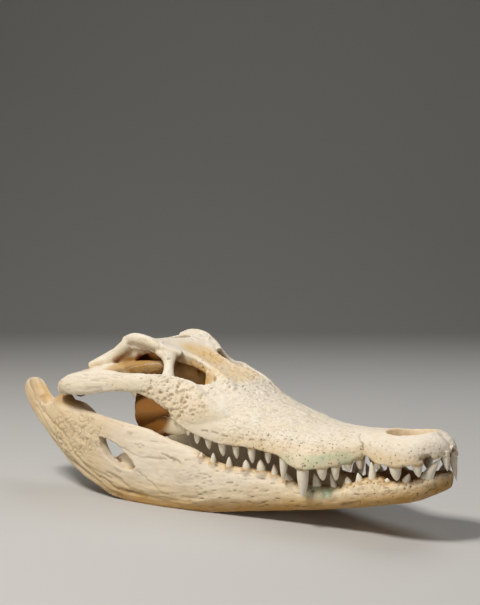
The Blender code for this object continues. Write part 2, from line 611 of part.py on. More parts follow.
def parted(cranium, collection):
    """The cranium's bones, apart by a thin gap where they meet."""
    gap = SUTURE_GAP / HEAD_LENGTH
    bones = {}
    rest = cranium
    for name, low, high, pivot, turn in CRANIUM_REGIONS:
        bones[name] = largest_shell(cut_away(rest.copy(), [box(name, low, high, pivot, turn)], collection,
                                             "INTERSECT"))
        rest = cut_away(rest, [box(name, low, high, pivot, turn, growth=gap)], collection)
    bones[LAST_REGION] = largest_shell(rest)
    return bones


def with_teeth(bone, teeth, collection):
    return cut_away(bone, teeth, collection, "UNION")


def bone_material(name, colour, roughness):
    material = bpy.data.materials.new(name)
    material.use_nodes = True
    shader = material.node_tree.nodes["Principled BSDF"]
    shader.inputs["Base Color"].default_value = (*colour, 1.0)
    shader.inputs["Roughness"].default_value = roughness
    shader.inputs["Metallic"].default_value = 0.0
    return material


FLOOR_BLOCK = ((-1, -1, -1), (2, 1, 0))
FAR_SIDE_BLOCK = ((-1, -SUTURE_GAP, -1), (2, 1, 1))


def main():
    for obj in list(bpy.data.objects):
        bpy.data.objects.remove(obj)
    collection = bpy.data.collections.new(COLLECTION_NAME)
    bpy.context.scene.collection.children.link(collection)
    bones = parted(build_cranium(collection), collection)
    bones["rostrum"] = with_teeth(bones["rostrum"], upper_teeth(), collection)
    blocks = [box("floor", *FLOOR_BLOCK), box("far_side", *FAR_SIDE_BLOCK)]
    jaw = cut_away(build_jaw(collection), blocks, collection)
    bones["mandible_right"] = with_teeth(largest_shell(jaw), right_lower_teeth(), collection)
    bones["mandible_left"] = mirrored(bones["mandible_right"])
    to_world = Matrix.Diagonal((HEAD_LENGTH,) * 3 + (1,)) @ Matrix.Translation((-MIDDLE, 0, 0))
    for name, mesh in bones.items():
        mesh.transform(to_world)
        mesh.materials.clear()
        mesh.materials.append(bone_material(name + "_bone", BONE_COLOUR, BONE_ROUGHNESS))
        new_object(name, mesh, collection)


main()
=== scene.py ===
"""The looks of a life-size crocodile skull with its lower jaw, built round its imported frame, in metres."""
import itertools
import json
import math

import bmesh
import bpy
import numpy as np
from mathutils import Matrix, Vector, kdtree
from mathutils.bvhtree import BVHTree

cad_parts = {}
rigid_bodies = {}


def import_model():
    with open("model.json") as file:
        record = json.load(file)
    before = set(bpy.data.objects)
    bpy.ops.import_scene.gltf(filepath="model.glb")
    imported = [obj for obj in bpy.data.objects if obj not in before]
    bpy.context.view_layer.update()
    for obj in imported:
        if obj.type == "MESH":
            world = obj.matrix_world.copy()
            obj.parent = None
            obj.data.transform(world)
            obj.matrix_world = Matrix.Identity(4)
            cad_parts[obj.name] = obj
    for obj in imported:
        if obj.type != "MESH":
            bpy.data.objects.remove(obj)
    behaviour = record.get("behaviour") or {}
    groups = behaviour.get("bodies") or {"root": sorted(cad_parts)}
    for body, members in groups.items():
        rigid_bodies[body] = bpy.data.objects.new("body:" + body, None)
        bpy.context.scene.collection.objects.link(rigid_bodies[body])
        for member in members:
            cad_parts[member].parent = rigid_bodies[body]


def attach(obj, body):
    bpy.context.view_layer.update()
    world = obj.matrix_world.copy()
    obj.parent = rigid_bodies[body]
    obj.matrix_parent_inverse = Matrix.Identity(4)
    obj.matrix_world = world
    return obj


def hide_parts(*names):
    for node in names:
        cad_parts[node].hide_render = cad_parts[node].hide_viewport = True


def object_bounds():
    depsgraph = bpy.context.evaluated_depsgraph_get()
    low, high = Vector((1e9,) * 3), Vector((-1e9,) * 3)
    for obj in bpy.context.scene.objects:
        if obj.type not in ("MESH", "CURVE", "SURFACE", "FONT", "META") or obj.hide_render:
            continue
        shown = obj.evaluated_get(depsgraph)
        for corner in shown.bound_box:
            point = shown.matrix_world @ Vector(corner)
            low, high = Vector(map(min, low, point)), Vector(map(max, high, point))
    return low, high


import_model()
cad_low, cad_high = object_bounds()
scene = bpy.context.scene

# ---- Studio: a plain pale floor that sweeps up behind the specimen, soft box lights, and a camera that
# stands a little above the skull table, off the animal's right cheek.

FLOOR_HALF_WIDTH = 6.0
SWEEP_START = 2.6
SWEEP_RADIUS = 2.0
SWEEP_STEPS = 24
SWEEP_HEIGHT = 5.0
CAMERA_TURN = math.radians(40)
CAMERA_PITCH = math.radians(2.01)
CAMERA_PLACE = (0.61664, -0.72503, 0.2488)
CAMERA_LENS_MM = 51.65


def mesh_of(name, bm):
    """The mesh of a finished bmesh, which is then freed."""
    mesh = bpy.data.meshes.new(name)
    bm.to_mesh(mesh)
    bm.free()
    return mesh


def placed(name, data):
    """An object in the scene round a mesh, a lamp or a camera."""
    obj = bpy.data.objects.new(name, data)
    scene.collection.objects.link(obj)
    return obj


def studio_floor():
    """A floor that turns up into a wall on the far side from the camera."""
    line = [(-FLOOR_HALF_WIDTH, 0.0), (SWEEP_START, 0.0)]
    for k in range(1, SWEEP_STEPS + 1):
        angle = math.pi / 2 * k / SWEEP_STEPS
        line.append((SWEEP_START + SWEEP_RADIUS * math.sin(angle), SWEEP_RADIUS * (1 - math.cos(angle))))
    line.append((SWEEP_START + SWEEP_RADIUS, SWEEP_HEIGHT))
    turn = Matrix.Rotation(CAMERA_TURN, 3, "Z")
    bm = bmesh.new()
    rows = [[bm.verts.new(turn @ Vector((side * FLOOR_HALF_WIDTH, depth, height))) for side in (-1, 1)]
            for depth, height in line]
    for near, far in zip(rows, rows[1:]):
        bm.faces.new((near[0], near[1], far[1], far[0])).smooth = True
    floor = placed("studio_floor", mesh_of("studio_floor", bm))
    paint = bpy.data.materials.new("pale_floor")
    paint.use_nodes = True
    shader = paint.node_tree.nodes["Principled BSDF"]
    shader.inputs["Base Color"].default_value = (0.54, 0.53, 0.51, 1)
    shader.inputs["Roughness"].default_value = 0.8
    floor.data.materials.append(paint)


def soft_box(name, place, aim, size, power, colour):
    """A soft light whose flat face looks from its place at the aim."""
    lamp = bpy.data.lights.new(name, "AREA")
    lamp.shape = "RECTANGLE"
    lamp.size, lamp.size_y = size
    lamp.energy = power
    lamp.color = colour
    box = placed(name, lamp)
    box.location = place
    box.rotation_euler = (Vector(place) - Vector(aim)).to_track_quat("Z", "Y").to_euler()


studio_floor()
soft_box("key_light", (-0.15, -1.1, 1.9), (0.0, 0.0, 0.08), (0.5, 0.5), 39, (1.0, 0.97, 0.93))
soft_box("fill_light", (-0.4, -1.9, 0.55), (0.05, 0.0, 0.05), (0.9, 0.6), 4.5, (1.0, 0.95, 0.88))
soft_box("top_light", (0.3, 0.9, 1.7), (0.0, 0.0, 0.1), (1.2, 1.2), 9, (0.96, 0.98, 1.0))
sky = bpy.data.worlds.new("studio_air")
sky.use_nodes = True
sky.node_tree.nodes["Background"].inputs["Color"].default_value = (0.85, 0.83, 0.8, 1)
sky.node_tree.nodes["Background"].inputs["Strength"].default_value = 0.12
scene.world = sky
scene.view_settings.view_transform = "Standard"

camera = placed("camera", bpy.data.cameras.new("camera"))
camera.location = CAMERA_PLACE
camera.rotation_euler = (math.pi / 2 - CAMERA_PITCH, 0, CAMERA_TURN)
camera.data.lens = CAMERA_LENS_MM
camera.data.sensor_width = 36
scene.camera = camera

# ---- Cranium: dry bone, grown as one mass of snout, roof, braincase, cheek bars, quadrates and pterygoids.
# Its shape is given in head lengths: 0 at the rear edge of the skull table, 1 at the tip of the snout. Its
# solids are grown together, carved, coloured, and parted where the nodes of the frame part.

HEAD_LENGTH = 0.4
REAR_OF_JAW = -0.313
MIDDLE = (1.0 + REAR_OF_JAW) / 2
GRAIN_SIZE = 0.00102
SOFTENING = 9
RING_POINTS = 64


def profile(*points):
    """A smooth value along the head through (place, value) pairs, with no overshoot between them."""
    places = np.array([p[0] for p in points], dtype=float)
    values = np.array([p[1] for p in points], dtype=float)
    steps = np.diff(places)
    slopes = np.diff(values) / steps
    tangents = np.empty_like(values)
    tangents[0], tangents[-1] = slopes[0], slopes[-1]
    same_way = slopes[:-1] * slopes[1:] > 0
    total = np.where(same_way, slopes[:-1] + slopes[1:], 1.0)
    tangents[1:-1] = np.where(same_way, 2 * slopes[:-1] * slopes[1:] / total, 0.0)

    def value(x):
        i = np.clip(np.searchsorted(places, x, side="right") - 1, 0, len(steps) - 1)
        t = np.clip((x - places[i]) / steps[i], 0.0, 1.0)
        rise = (2 * t**3 - 3 * t**2 + 1) * values[i] + (3 * t**2 - 2 * t**3) * values[i + 1]
        bend = (t**3 - 2 * t**2 + t) * tangents[i] + (t**3 - t**2) * tangents[i + 1]
        return rise + steps[i] * bend

    return value


def signed_power(value, power):
    """The size of the value raised to a power, with the value's own sign."""
    return np.sign(value) * np.abs(value) ** power


def loft(name, rings):
    """A closed solid through rings of equal point counts."""
    bm = bmesh.new()
    loops = [[bm.verts.new(point) for point in ring] for ring in rings]
    for first, second in zip(loops, loops[1:]):
        for k in range(len(first)):
            after = (k + 1) % len(first)
            bm.faces.new((first[k], first[after], second[after], second[k]))
    bm.faces.new(reversed(loops[0]))
    bm.faces.new(loops[-1])
    bmesh.ops.triangulate(bm, faces=bm.faces)
    bmesh.ops.recalc_face_normals(bm, faces=bm.faces)
    return mesh_of(name, bm)


def strut(name, *stations, steps=10, sides=24):
    """A bar or plate on a smooth path. A station is (x, y, z, half width, half height, roll in degrees)."""
    table = np.array([tuple(s) + (0.0,) * (6 - len(s)) for s in stations], dtype=float)
    padded = np.vstack([2 * table[0] - table[1], table, 2 * table[-1] - table[-2]])
    rows = []
    for i in range(1, len(padded) - 2):
        for t in np.arange(steps) / steps:
            a, b, c, d = padded[i - 1:i + 3]
            rows.append(0.5 * (2 * b + (c - a) * t + (2 * a - 5 * b + 4 * c - d) * t**2
                               + (3 * b - a - 3 * c + d) * t**3))
    rows.append(table[-1])
    rows = np.array(rows)
    tangents = np.gradient(rows[:, :3], axis=0)
    rings = []
    for row, tangent in zip(rows, tangents):
        tangent = Vector(tangent).normalized()
        side = tangent.cross(Vector((0, 0, 1))).normalized()
        upward = side.cross(tangent)
        turn = Matrix.Rotation(math.radians(row[5]), 3, tangent)
        side, upward = turn @ side, turn @ upward
        rings.append([Vector(row[:3]) + side * math.cos(a) * row[3] + upward * math.sin(a) * row[4]
                      for a in np.linspace(0, 2 * math.pi, sides + 1)[:-1]])
    return loft(name, rings)


def turned(degrees, size=3):
    """A rotation by three angles in degrees, about x first."""
    x, y, z = (math.radians(angle) for angle in degrees)
    return Matrix.Rotation(z, size, "Z") @ Matrix.Rotation(y, size, "Y") @ Matrix.Rotation(x, size, "X")


def ball(name, centre, radii, turn=(0, 0, 0), segments=32):
    """An ellipsoid, turned by Euler angles in degrees."""
    bm = bmesh.new()
    bmesh.ops.create_uvsphere(bm, u_segments=segments, v_segments=segments // 2, radius=1.0)
    shape = Matrix.LocRotScale(Vector(centre), turned(turn), Vector(radii))
    bmesh.ops.transform(bm, matrix=shape, verts=bm.verts)
    bmesh.ops.triangulate(bm, faces=bm.faces)
    return mesh_of(name, bm)


def mirrored(mesh):
    """The same mesh on the other side of the midplane."""
    other = mesh.copy()
    other.transform(Matrix.Diagonal((1, -1, 1, 1)))
    other.flip_normals()
    return other


def pair(mesh):
    """The mesh and its mirror image on the other side."""
    return [mesh, mirrored(mesh)]


def joined(name, meshes):
    """One mesh of several, their shells still apart."""
    bm = bmesh.new()
    for mesh in meshes:
        bm.from_mesh(mesh)
    return mesh_of(name, bm)


def evaluated(obj):
    """The object's mesh as its modifiers leave it."""
    bpy.context.view_layer.update()
    return bpy.data.meshes.new_from_object(obj.evaluated_get(bpy.context.evaluated_depsgraph_get()))


def cut_by(mesh, cutters, operation="DIFFERENCE"):
    """The mesh with each cutter taken out of it in turn, or kept to what lies inside the cutter."""
    body = placed("being_cut", mesh)
    tools = [placed("cutter", cutter) for cutter in cutters]
    for tool in tools:
        step = body.modifiers.new("cut", "BOOLEAN")
        step.operation = operation
        step.solver = "MANIFOLD"
        step.material_mode = "INDEX"
        step.object = tool
    result = evaluated(body)
    for obj in [body] + tools:
        bpy.data.objects.remove(obj)
    return result


def outer_shell(mesh):
    """Only the largest connected shell: loose scraps and sealed hollows are dropped."""
    edges = np.empty(len(mesh.edges) * 2, dtype=np.int32)
    mesh.edges.foreach_get("vertices", edges)
    first, second = edges.reshape(-1, 2).T
    label = np.arange(len(mesh.vertices))
    while True:
        lower = label.copy()
        np.minimum.at(lower, first, label[second])
        np.minimum.at(lower, second, label[first])
        lower = lower[lower]
        if np.array_equal(lower, label):
            break
        label = lower
    shells, counts = np.unique(label, return_counts=True)
    if len(shells) > 1:
        stray = np.flatnonzero(label != shells[counts.argmax()])
        bm = bmesh.new()
        bm.from_mesh(mesh)
        bm.verts.ensure_lookup_table()
        bmesh.ops.delete(bm, geom=[bm.verts[i] for i in stray], context="VERTS")
        bm.to_mesh(mesh)
        bm.free()
    return mesh


def grown_together(name, meshes, softening=SOFTENING):
    """One closed skin of fine even faces round all the given solids, in place and in metres."""
    whole = joined(name, meshes)
    whole.transform(Matrix.Diagonal((HEAD_LENGTH,) * 3 + (1,)) @ Matrix.Translation((-MIDDLE, 0, 0)))
    body = placed(name, whole)
    skin = body.modifiers.new("skin", "REMESH")
    skin.mode = "VOXEL"
    skin.voxel_size = GRAIN_SIZE
    soft = body.modifiers.new("soft", "SMOOTH")
    soft.factor = 0.5
    soft.iterations = softening
    result = evaluated(body)
    bpy.data.objects.remove(body)
    return outer_shell(result)


snout_half_width = profile(
    (0.29, 0.2), (0.33, 0.192), (0.37, 0.184), (0.42, 0.175), (0.46, 0.166), (0.5, 0.158), (0.55, 0.149),
    (0.6, 0.145), (0.64, 0.146), (0.68, 0.145), (0.71, 0.135), (0.75, 0.112), (0.78, 0.092),
    (0.81, 0.076), (0.835, 0.08), (0.87, 0.091), (0.9, 0.095), (0.93, 0.09), (0.955, 0.077),
    (0.975, 0.057), (0.99, 0.034), (1.0, 0.01))
tooth_line = profile(
    (0.29, 0.24), (0.334, 0.216), (0.368, 0.203), (0.4, 0.194), (0.45, 0.185), (0.5, 0.185),
    (0.548, 0.181), (0.606, 0.173), (0.641, 0.155), (0.682, 0.151), (0.726, 0.158), (0.752, 0.164),
    (0.781, 0.177), (0.809, 0.191), (0.845, 0.178), (0.904, 0.181), (0.956, 0.193), (0.985, 0.204),
    (1.0, 0.212))
snout_top = profile(
    (0.29, 0.352), (0.335, 0.35), (0.37, 0.34), (0.4, 0.328), (0.45, 0.305), (0.49, 0.29), (0.53, 0.277),
    (0.575, 0.263), (0.61, 0.253), (0.653, 0.244), (0.7, 0.24), (0.75, 0.241), (0.82, 0.245),
    (0.87, 0.252), (0.945, 0.257), (0.965, 0.252), (0.982, 0.243), (0.994, 0.229), (1.0, 0.219))
snout_squareness = profile(
    (0.29, 2.6), (0.36, 2.2), (0.4, 2.0), (0.6, 2.0), (0.7, 2.1), (0.8, 2.3), (0.9, 2.6), (1.0, 2.4))
PALATE_VAULT = 0.016
PALATE_SHARE = 0.8


def snout_ring(x):
    """The snout's section: a rounded top down to the tooth line, closed by a shallow vaulted palate."""
    half_width, low, high = snout_half_width(x), tooth_line(x), snout_top(x)
    power = 2 / snout_squareness(x)
    ring = [(x, -half_width * signed_power(math.cos(a), power),
             low + (high - low) * abs(math.sin(a)) ** power)
            for a in np.linspace(0, math.pi, RING_POINTS)]
    for share in np.linspace(PALATE_SHARE, -PALATE_SHARE, 17):
        ring.append((x, half_width * share, low + PALATE_VAULT * (1 - (share / PALATE_SHARE) ** 2)))
    return ring


roof_half_width = profile(
    (-0.015, 0.1), (0.0, 0.119), (0.05, 0.128), (0.1, 0.127), (0.145, 0.122), (0.172, 0.113),
    (0.192, 0.095), (0.212, 0.076), (0.25, 0.055), (0.3, 0.057), (0.335, 0.067), (0.37, 0.085),
    (0.41, 0.095))
roof_rim = profile(
    (-0.015, 0.398), (0.0, 0.409), (0.02, 0.426), (0.045, 0.441), (0.07, 0.45), (0.095, 0.451),
    (0.13, 0.443), (0.16, 0.43), (0.19, 0.419), (0.225, 0.403), (0.262, 0.388), (0.3, 0.371),
    (0.335, 0.36), (0.37, 0.345), (0.41, 0.318))
roof_middle = profile(
    (-0.015, 0.398), (0.0, 0.408), (0.05, 0.425), (0.1, 0.427), (0.16, 0.419), (0.19, 0.407),
    (0.262, 0.377), (0.3, 0.362), (0.335, 0.351), (0.37, 0.339), (0.41, 0.316))
roof_thickness = profile(
    (-0.015, 0.02), (0.0, 0.032), (0.1, 0.034), (0.16, 0.038), (0.21, 0.04), (0.28, 0.036), (0.34, 0.046),
    (0.41, 0.052))


def roof_ring(x):
    """The roof's section: a plate that dips to the midplane and thins at its rims."""
    half_width, rim, middle, thick = roof_half_width(x), roof_rim(x), roof_middle(x), roof_thickness(x)
    ring = []
    for share in np.linspace(-1, 1, 31):
        dip = (rim - middle) * (1 - abs(share) ** 2.5)
        edge = 0.3 * thick * max(0.0, abs(share) - 0.8) / 0.2
        ring.append((x, half_width * share, rim - dip - edge))
    for share in np.linspace(1, -1, 17):
        ring.append((x, half_width * share * 0.94, middle - thick + 0.01 * abs(share)))
    return ring


def plate(name, ring, *rows):
    """A thin bone lofted through ring(angle, row) sections."""
    return loft(name, [[ring(a, row) for a in np.linspace(0, 2 * math.pi, 40)[:-1]] for row in rows])


def quadrate_ring(a, row):
    """A row is the place along the head, outer edge, inner edge, level, lean and thickness."""
    x, outer, inner, level, lean, thick = row
    return (x, (outer + inner) / 2 + (outer - inner) / 2 * signed_power(math.cos(a), 0.7),
            level + lean * math.cos(a) + thick * signed_power(math.sin(a), 0.7))


def wing_ring(a, row):
    """A row is the distance from the midplane, rear edge, front edge, level and thickness."""
    y, rear, front, level, thick = row
    return ((front + rear) / 2 + (front - rear) / 2 * signed_power(math.cos(a), 0.8), y,
            level + thick * signed_power(math.sin(a), 0.8))


def braincase_ring(a, row):
    """A row is the place along the head, half width, middle height and half height."""
    x, half, middle, tall = row
    return (x, half * math.cos(a), middle + tall * math.sin(a))


NARIS_PLACE = (0.89, 0, 0.264)
NARIS_RADII = (0.063, 0.056, 0.056)
orbits = pair(ball("orbit", (0.278, -0.11, 0.37), (0.088, 0.046, 0.085), turn=(16, 11, 6)))
naris = ball("naris", NARIS_PLACE, NARIS_RADII)
tusk_notches = pair(ball("tusk_notch", (0.963, -0.064, 0.193), (0.014, 0.028, 0.021)))
table_holes = pair(ball("table_hole", (0.08, -0.058, 0.42), (0.036, 0.024, 0.07), turn=(0, 0, -12)))
snout_stations = np.concatenate([np.linspace(0.29, 0.93, 90), np.linspace(0.937, 1, 24)])
snout = cut_by(loft("snout", [snout_ring(x) for x in snout_stations]), orbits + [naris] + tusk_notches)
roof = cut_by(loft("roof", [roof_ring(x) for x in np.linspace(-0.015, 0.41, 80)]),
              [mesh.copy() for mesh in orbits] + table_holes)

middle_parts = [
    snout, roof,
    plate("braincase", braincase_ring,
          (-0.03, 0.04, 0.35, 0.055), (-0.01, 0.052, 0.345, 0.07), (0.04, 0.056, 0.345, 0.075),
          (0.1, 0.05, 0.35, 0.07), (0.16, 0.03, 0.355, 0.055), (0.22, 0.016, 0.35, 0.04)),
    ball("condyle", (-0.046, 0, 0.335), (0.018, 0.018, 0.017)),
    strut("basioccipital", (0.0, 0, 0.33, 0.045, 0.02), (-0.004, 0, 0.295, 0.042, 0.018),
          (0.012, 0, 0.258, 0.035, 0.018)),
    strut("palatines", (0.4, 0, 0.225, 0.07, 0.016), (0.33, 0, 0.235, 0.042, 0.018),
          (0.26, 0, 0.24, 0.034, 0.02), (0.2, 0, 0.247, 0.045, 0.02), (0.1, 0, 0.256, 0.055, 0.02),
          (0.02, 0, 0.266, 0.04, 0.02)),
    strut("sphenoid", (0.05, 0, 0.3, 0.03, 0.05), (0.16, 0, 0.3, 0.018, 0.05),
          (0.25, 0, 0.305, 0.011, 0.036)),
]
side_parts = [
    strut("lower_bar",
          (0.5, -0.116, 0.226, 0.008, 0.01), (0.46, -0.128, 0.232, 0.012, 0.018),
          (0.42, -0.14, 0.242, 0.017, 0.028, 14), (0.36, -0.16, 0.262, 0.02, 0.044, 26),
          (0.31, -0.166, 0.288, 0.017, 0.052, 28), (0.255, -0.184, 0.31, 0.015, 0.043, 30),
          (0.2, -0.212, 0.324, 0.016, 0.028, 24), (0.15, -0.226, 0.325, 0.015, 0.027, 24),
          (0.09, -0.234, 0.324, 0.015, 0.031, 24), (0.03, -0.24, 0.318, 0.018, 0.035, 26),
          (-0.03, -0.242, 0.309, 0.022, 0.033, 26), (-0.075, -0.243, 0.302, 0.02, 0.024, 20),
          (-0.1, -0.244, 0.298, 0.012, 0.012)),
    strut("postorbital_bar",
          (0.168, -0.08, 0.404, 0.04, 0.014), (0.186, -0.097, 0.397, 0.036, 0.015),
          (0.2, -0.109, 0.38, 0.02, 0.013), (0.212, -0.122, 0.361, 0.014, 0.012),
          (0.226, -0.139, 0.345, 0.016, 0.013), (0.243, -0.163, 0.322, 0.026, 0.016)),
    strut("table_lip",
          (0.03, -0.116, 0.423, 0.013, 0.014), (0.07, -0.119, 0.433, 0.014, 0.016),
          (0.115, -0.119, 0.43, 0.014, 0.016), (0.155, -0.112, 0.416, 0.015, 0.014),
          (0.19, -0.096, 0.403, 0.014, 0.012), (0.22, -0.078, 0.395, 0.01, 0.008)),
    strut("squamosal_horn",
          (0.05, -0.114, 0.418, 0.02, 0.022), (0.012, -0.127, 0.388, 0.018, 0.02),
          (-0.012, -0.139, 0.366, 0.017, 0.019), (-0.035, -0.15, 0.36, 0.016, 0.016),
          (-0.066, -0.166, 0.348, 0.012, 0.012)),
    strut("ear_wall",
          (0.165, -0.098, 0.41, 0.012, 0.02), (0.12, -0.098, 0.41, 0.012, 0.018),
          (0.078, -0.1, 0.402, 0.012, 0.019), (0.03, -0.112, 0.384, 0.012, 0.032),
          (-0.02, -0.137, 0.364, 0.012, 0.026), (-0.06, -0.16, 0.35, 0.01, 0.014)),
    strut("paroccipital_process",
          (0.0, -0.03, 0.365, 0.022, 0.04), (-0.012, -0.09, 0.362, 0.016, 0.034),
          (-0.04, -0.14, 0.352, 0.014, 0.024), (-0.062, -0.166, 0.343, 0.012, 0.014)),
    plate("quadrate", quadrate_ring,
          (0.178, -0.098, -0.05, 0.364, 0.0, 0.014), (0.155, -0.106, -0.05, 0.358, 0.0, 0.019),
          (0.125, -0.118, -0.055, 0.351, 0.0, 0.022), (0.09, -0.138, -0.06, 0.345, 0.0, 0.025),
          (0.05, -0.185, -0.06, 0.34, -0.004, 0.024), (0.0, -0.232, -0.085, 0.336, -0.008, 0.02),
          (-0.05, -0.248, -0.125, 0.32, -0.006, 0.023), (-0.085, -0.25, -0.145, 0.304, 0.0, 0.026),
          (-0.105, -0.246, -0.15, 0.294, 0.0, 0.022), (-0.118, -0.236, -0.16, 0.288, 0.0, 0.012)),
    strut("prefrontal_pillar",
          (0.345, -0.04, 0.34, 0.016, 0.026), (0.34, -0.046, 0.3, 0.012, 0.022),
          (0.335, -0.04, 0.25, 0.014, 0.026)),
    ball("outer_condyle", (-0.1, -0.228, 0.287), (0.02, 0.026, 0.021)),
    ball("inner_condyle", (-0.1, -0.172, 0.281), (0.022, 0.026, 0.024)),
    plate("pterygoid_wing", wing_ring,
          (-0.02, 0.0, 0.26, 0.268, 0.016), (-0.07, 0.026, 0.235, 0.266, 0.014),
          (-0.11, 0.062, 0.235, 0.243, 0.013), (-0.145, 0.101, 0.255, 0.212, 0.013),
          (-0.166, 0.142, 0.258, 0.19, 0.013), (-0.177, 0.16, 0.232, 0.184, 0.01)),
    strut("ectopterygoid",
          (0.35, -0.166, 0.23, 0.02, 0.02), (0.31, -0.172, 0.226, 0.013, 0.03),
          (0.265, -0.167, 0.218, 0.013, 0.031), (0.215, -0.165, 0.2, 0.013, 0.023),
          (0.165, -0.163, 0.192, 0.012, 0.012)),
]

# Every tooth sits in a raised collar of bone. Each tooth: place along the head, socket height, tip height,
# radius, how far the tip leans forward. The right side, which faces the camera, is the one given.
UPPER_TEETH = (
    (0.335, 0.216, 0.194, 0.008, -0.004), (0.361, 0.206, 0.175, 0.0098, -0.002),
    (0.394, 0.195, 0.165, 0.0098, 0.002), (0.434, 0.188, 0.151, 0.0108, 0.003),
    (0.473, 0.185, 0.149, 0.0098, 0.002), (0.517, 0.184, 0.142, 0.011, 0.002),
    (0.565, 0.181, 0.146, 0.0096, -0.002), (0.612, 0.171, 0.111, 0.011, -0.004),
    (0.669, 0.152, 0.078, 0.0148, 0.0), (0.715, 0.157, 0.125, 0.0128, 0.003),
    (0.743, 0.162, 0.126, 0.0108, 0.001), (0.767, 0.17, 0.15, 0.0106, 0.002),
    (0.79, 0.181, 0.154, 0.0096, 0.001), (0.837, 0.179, 0.159, 0.009, 0.0),
    (0.892, 0.18, 0.145, 0.014, 0.003), (0.942, 0.189, 0.159, 0.0112, 0.004))
UPPER_SOCKET_INSET = 0.017
FRONT_SOCKETS = ((0.987, -0.021, 0.205, 0.0085), (0.987, 0.019, 0.203, 0.0095))


def upper_side(x):
    """How far from the midplane the upper teeth stand."""
    return snout_half_width(x) - UPPER_SOCKET_INSET


def collar(x, y, socket, radius, way):
    """The swollen rim of a tooth socket; way is 1 where the tooth points up and -1 where it points down."""
    return ball("collar", (x, y, socket - way * 0.004), (radius * 1.45, radius * 1.22, 0.013), segments=20)


for x, socket, tip, radius, lean in UPPER_TEETH:
    side_parts.append(collar(x, -upper_side(x), socket, radius, -1))
for x, y, socket, radius in FRONT_SOCKETS:
    middle_parts.append(collar(x, y, socket, radius, -1))
cranium = grown_together("cranium", middle_parts + [half for mesh in side_parts for half in pair(mesh)])

MM = 0.001


def head_places(points):
    """Places in head lengths for points in metres, and the same with both sides of the head laid on one."""
    places = points / HEAD_LENGTH + np.array((MIDDLE, 0, 0))
    return places, places * (1, 0, 1) + np.abs(places) * (0, 1, 0)


CELL_PRIMES = (73856093, 19349663, 83492791)
FAR_AWAY = 9.0


def random_of(cells, seed):
    """A repeatable number from 0 to 1 for every cell of a grid."""
    mixed = seed * 50331653
    for axis, prime in enumerate(CELL_PRIMES):
        mixed = mixed ^ (cells[..., axis] * prime)
    mixed = (mixed ^ (mixed >> 13)) * 1274126177
    return ((mixed ^ (mixed >> 16)) & 0xFFFFFF) / 0xFFFFFF


def ripple(points, size, seed):
    """Smooth noise from -1 to 1 whose waves are about `size` long; the size may differ by axis."""
    places = points / np.asarray(size)
    cell = np.floor(places).astype(np.int64)
    t = places - cell
    t = t * t * (3 - 2 * t)
    total = 0.0
    for corner in itertools.product((0, 1), repeat=3):
        share = np.prod(np.where(corner, t, 1 - t), axis=1)
        total = total + share * random_of(cell + np.array(corner), seed)
    return total * 2 - 1


def sway(points, size, seed):
    """Three ripples side by side, to move places about."""
    return np.stack([ripple(points, size, seed + k) for k in range(3)], axis=1)


def spot_distance(points, size, seed):
    """How far each point is from the nearest of scattered spots, one to each grid cell."""
    places = points / size
    cell = np.floor(places).astype(np.int64)
    nearest = np.full(len(points), FAR_AWAY)
    for step in itertools.product((-1, 0, 1), repeat=3):
        other = cell + np.array(step)
        spot = other + np.stack([random_of(other, seed + k) for k in range(3)], axis=1)
        nearest = np.minimum(nearest, np.linalg.norm(places - spot, axis=1))
    return nearest * size


def eased(value):
    """A soft step: 0 below 0, 1 above 1, and an easy slope between."""
    value = np.clip(value, 0.0, 1.0)
    return value * value * (3 - 2 * value)


def patch(places, centre, radii, fade=0.5):
    """1 inside an egg-shaped patch, fading to 0 outside it."""
    reach = np.linalg.norm((places - centre) / radii, axis=1)
    return eased((1 + fade / 2 - reach) / fade)


def between(value, start, full, fade_from, end):
    """1 from full to fade_from, easing to 0 at start and at end."""
    return eased((value - start) / (full - start)) * eased((end - value) / (end - fade_from))


def line_distance(places, line):
    """Distance of places to a broken line, in the places' units, using as many axes as the line has."""
    nearest = np.full(len(places), FAR_AWAY)
    for first, second in zip(line, line[1:]):
        first, along = np.array(first), np.array(second) - np.array(first)
        share = np.clip((places - first) @ along / (along @ along), 0, 1)
        nearest = np.minimum(nearest, np.linalg.norm(places - first - share[:, None] * along, axis=1))
    return nearest


def triples(items, key):
    """A value of three numbers for each item of a mesh, as rows."""
    values = np.empty(len(items) * 3)
    items.foreach_get(key, values)
    return values.reshape(-1, 3)


# Of these masks, the first darkens seams and paints shade in creases, the second is stain that also paints
# warm shade, the third paints deep shade, and the last is sun bleach that also paints light; pores and green
# bloom are the bone's own colour.
MASKS = ("seam_dark_and_painted_shade", "stain_and_painted_shade", "painted_shade", "pores", "green", "bleach_and_painted_light")


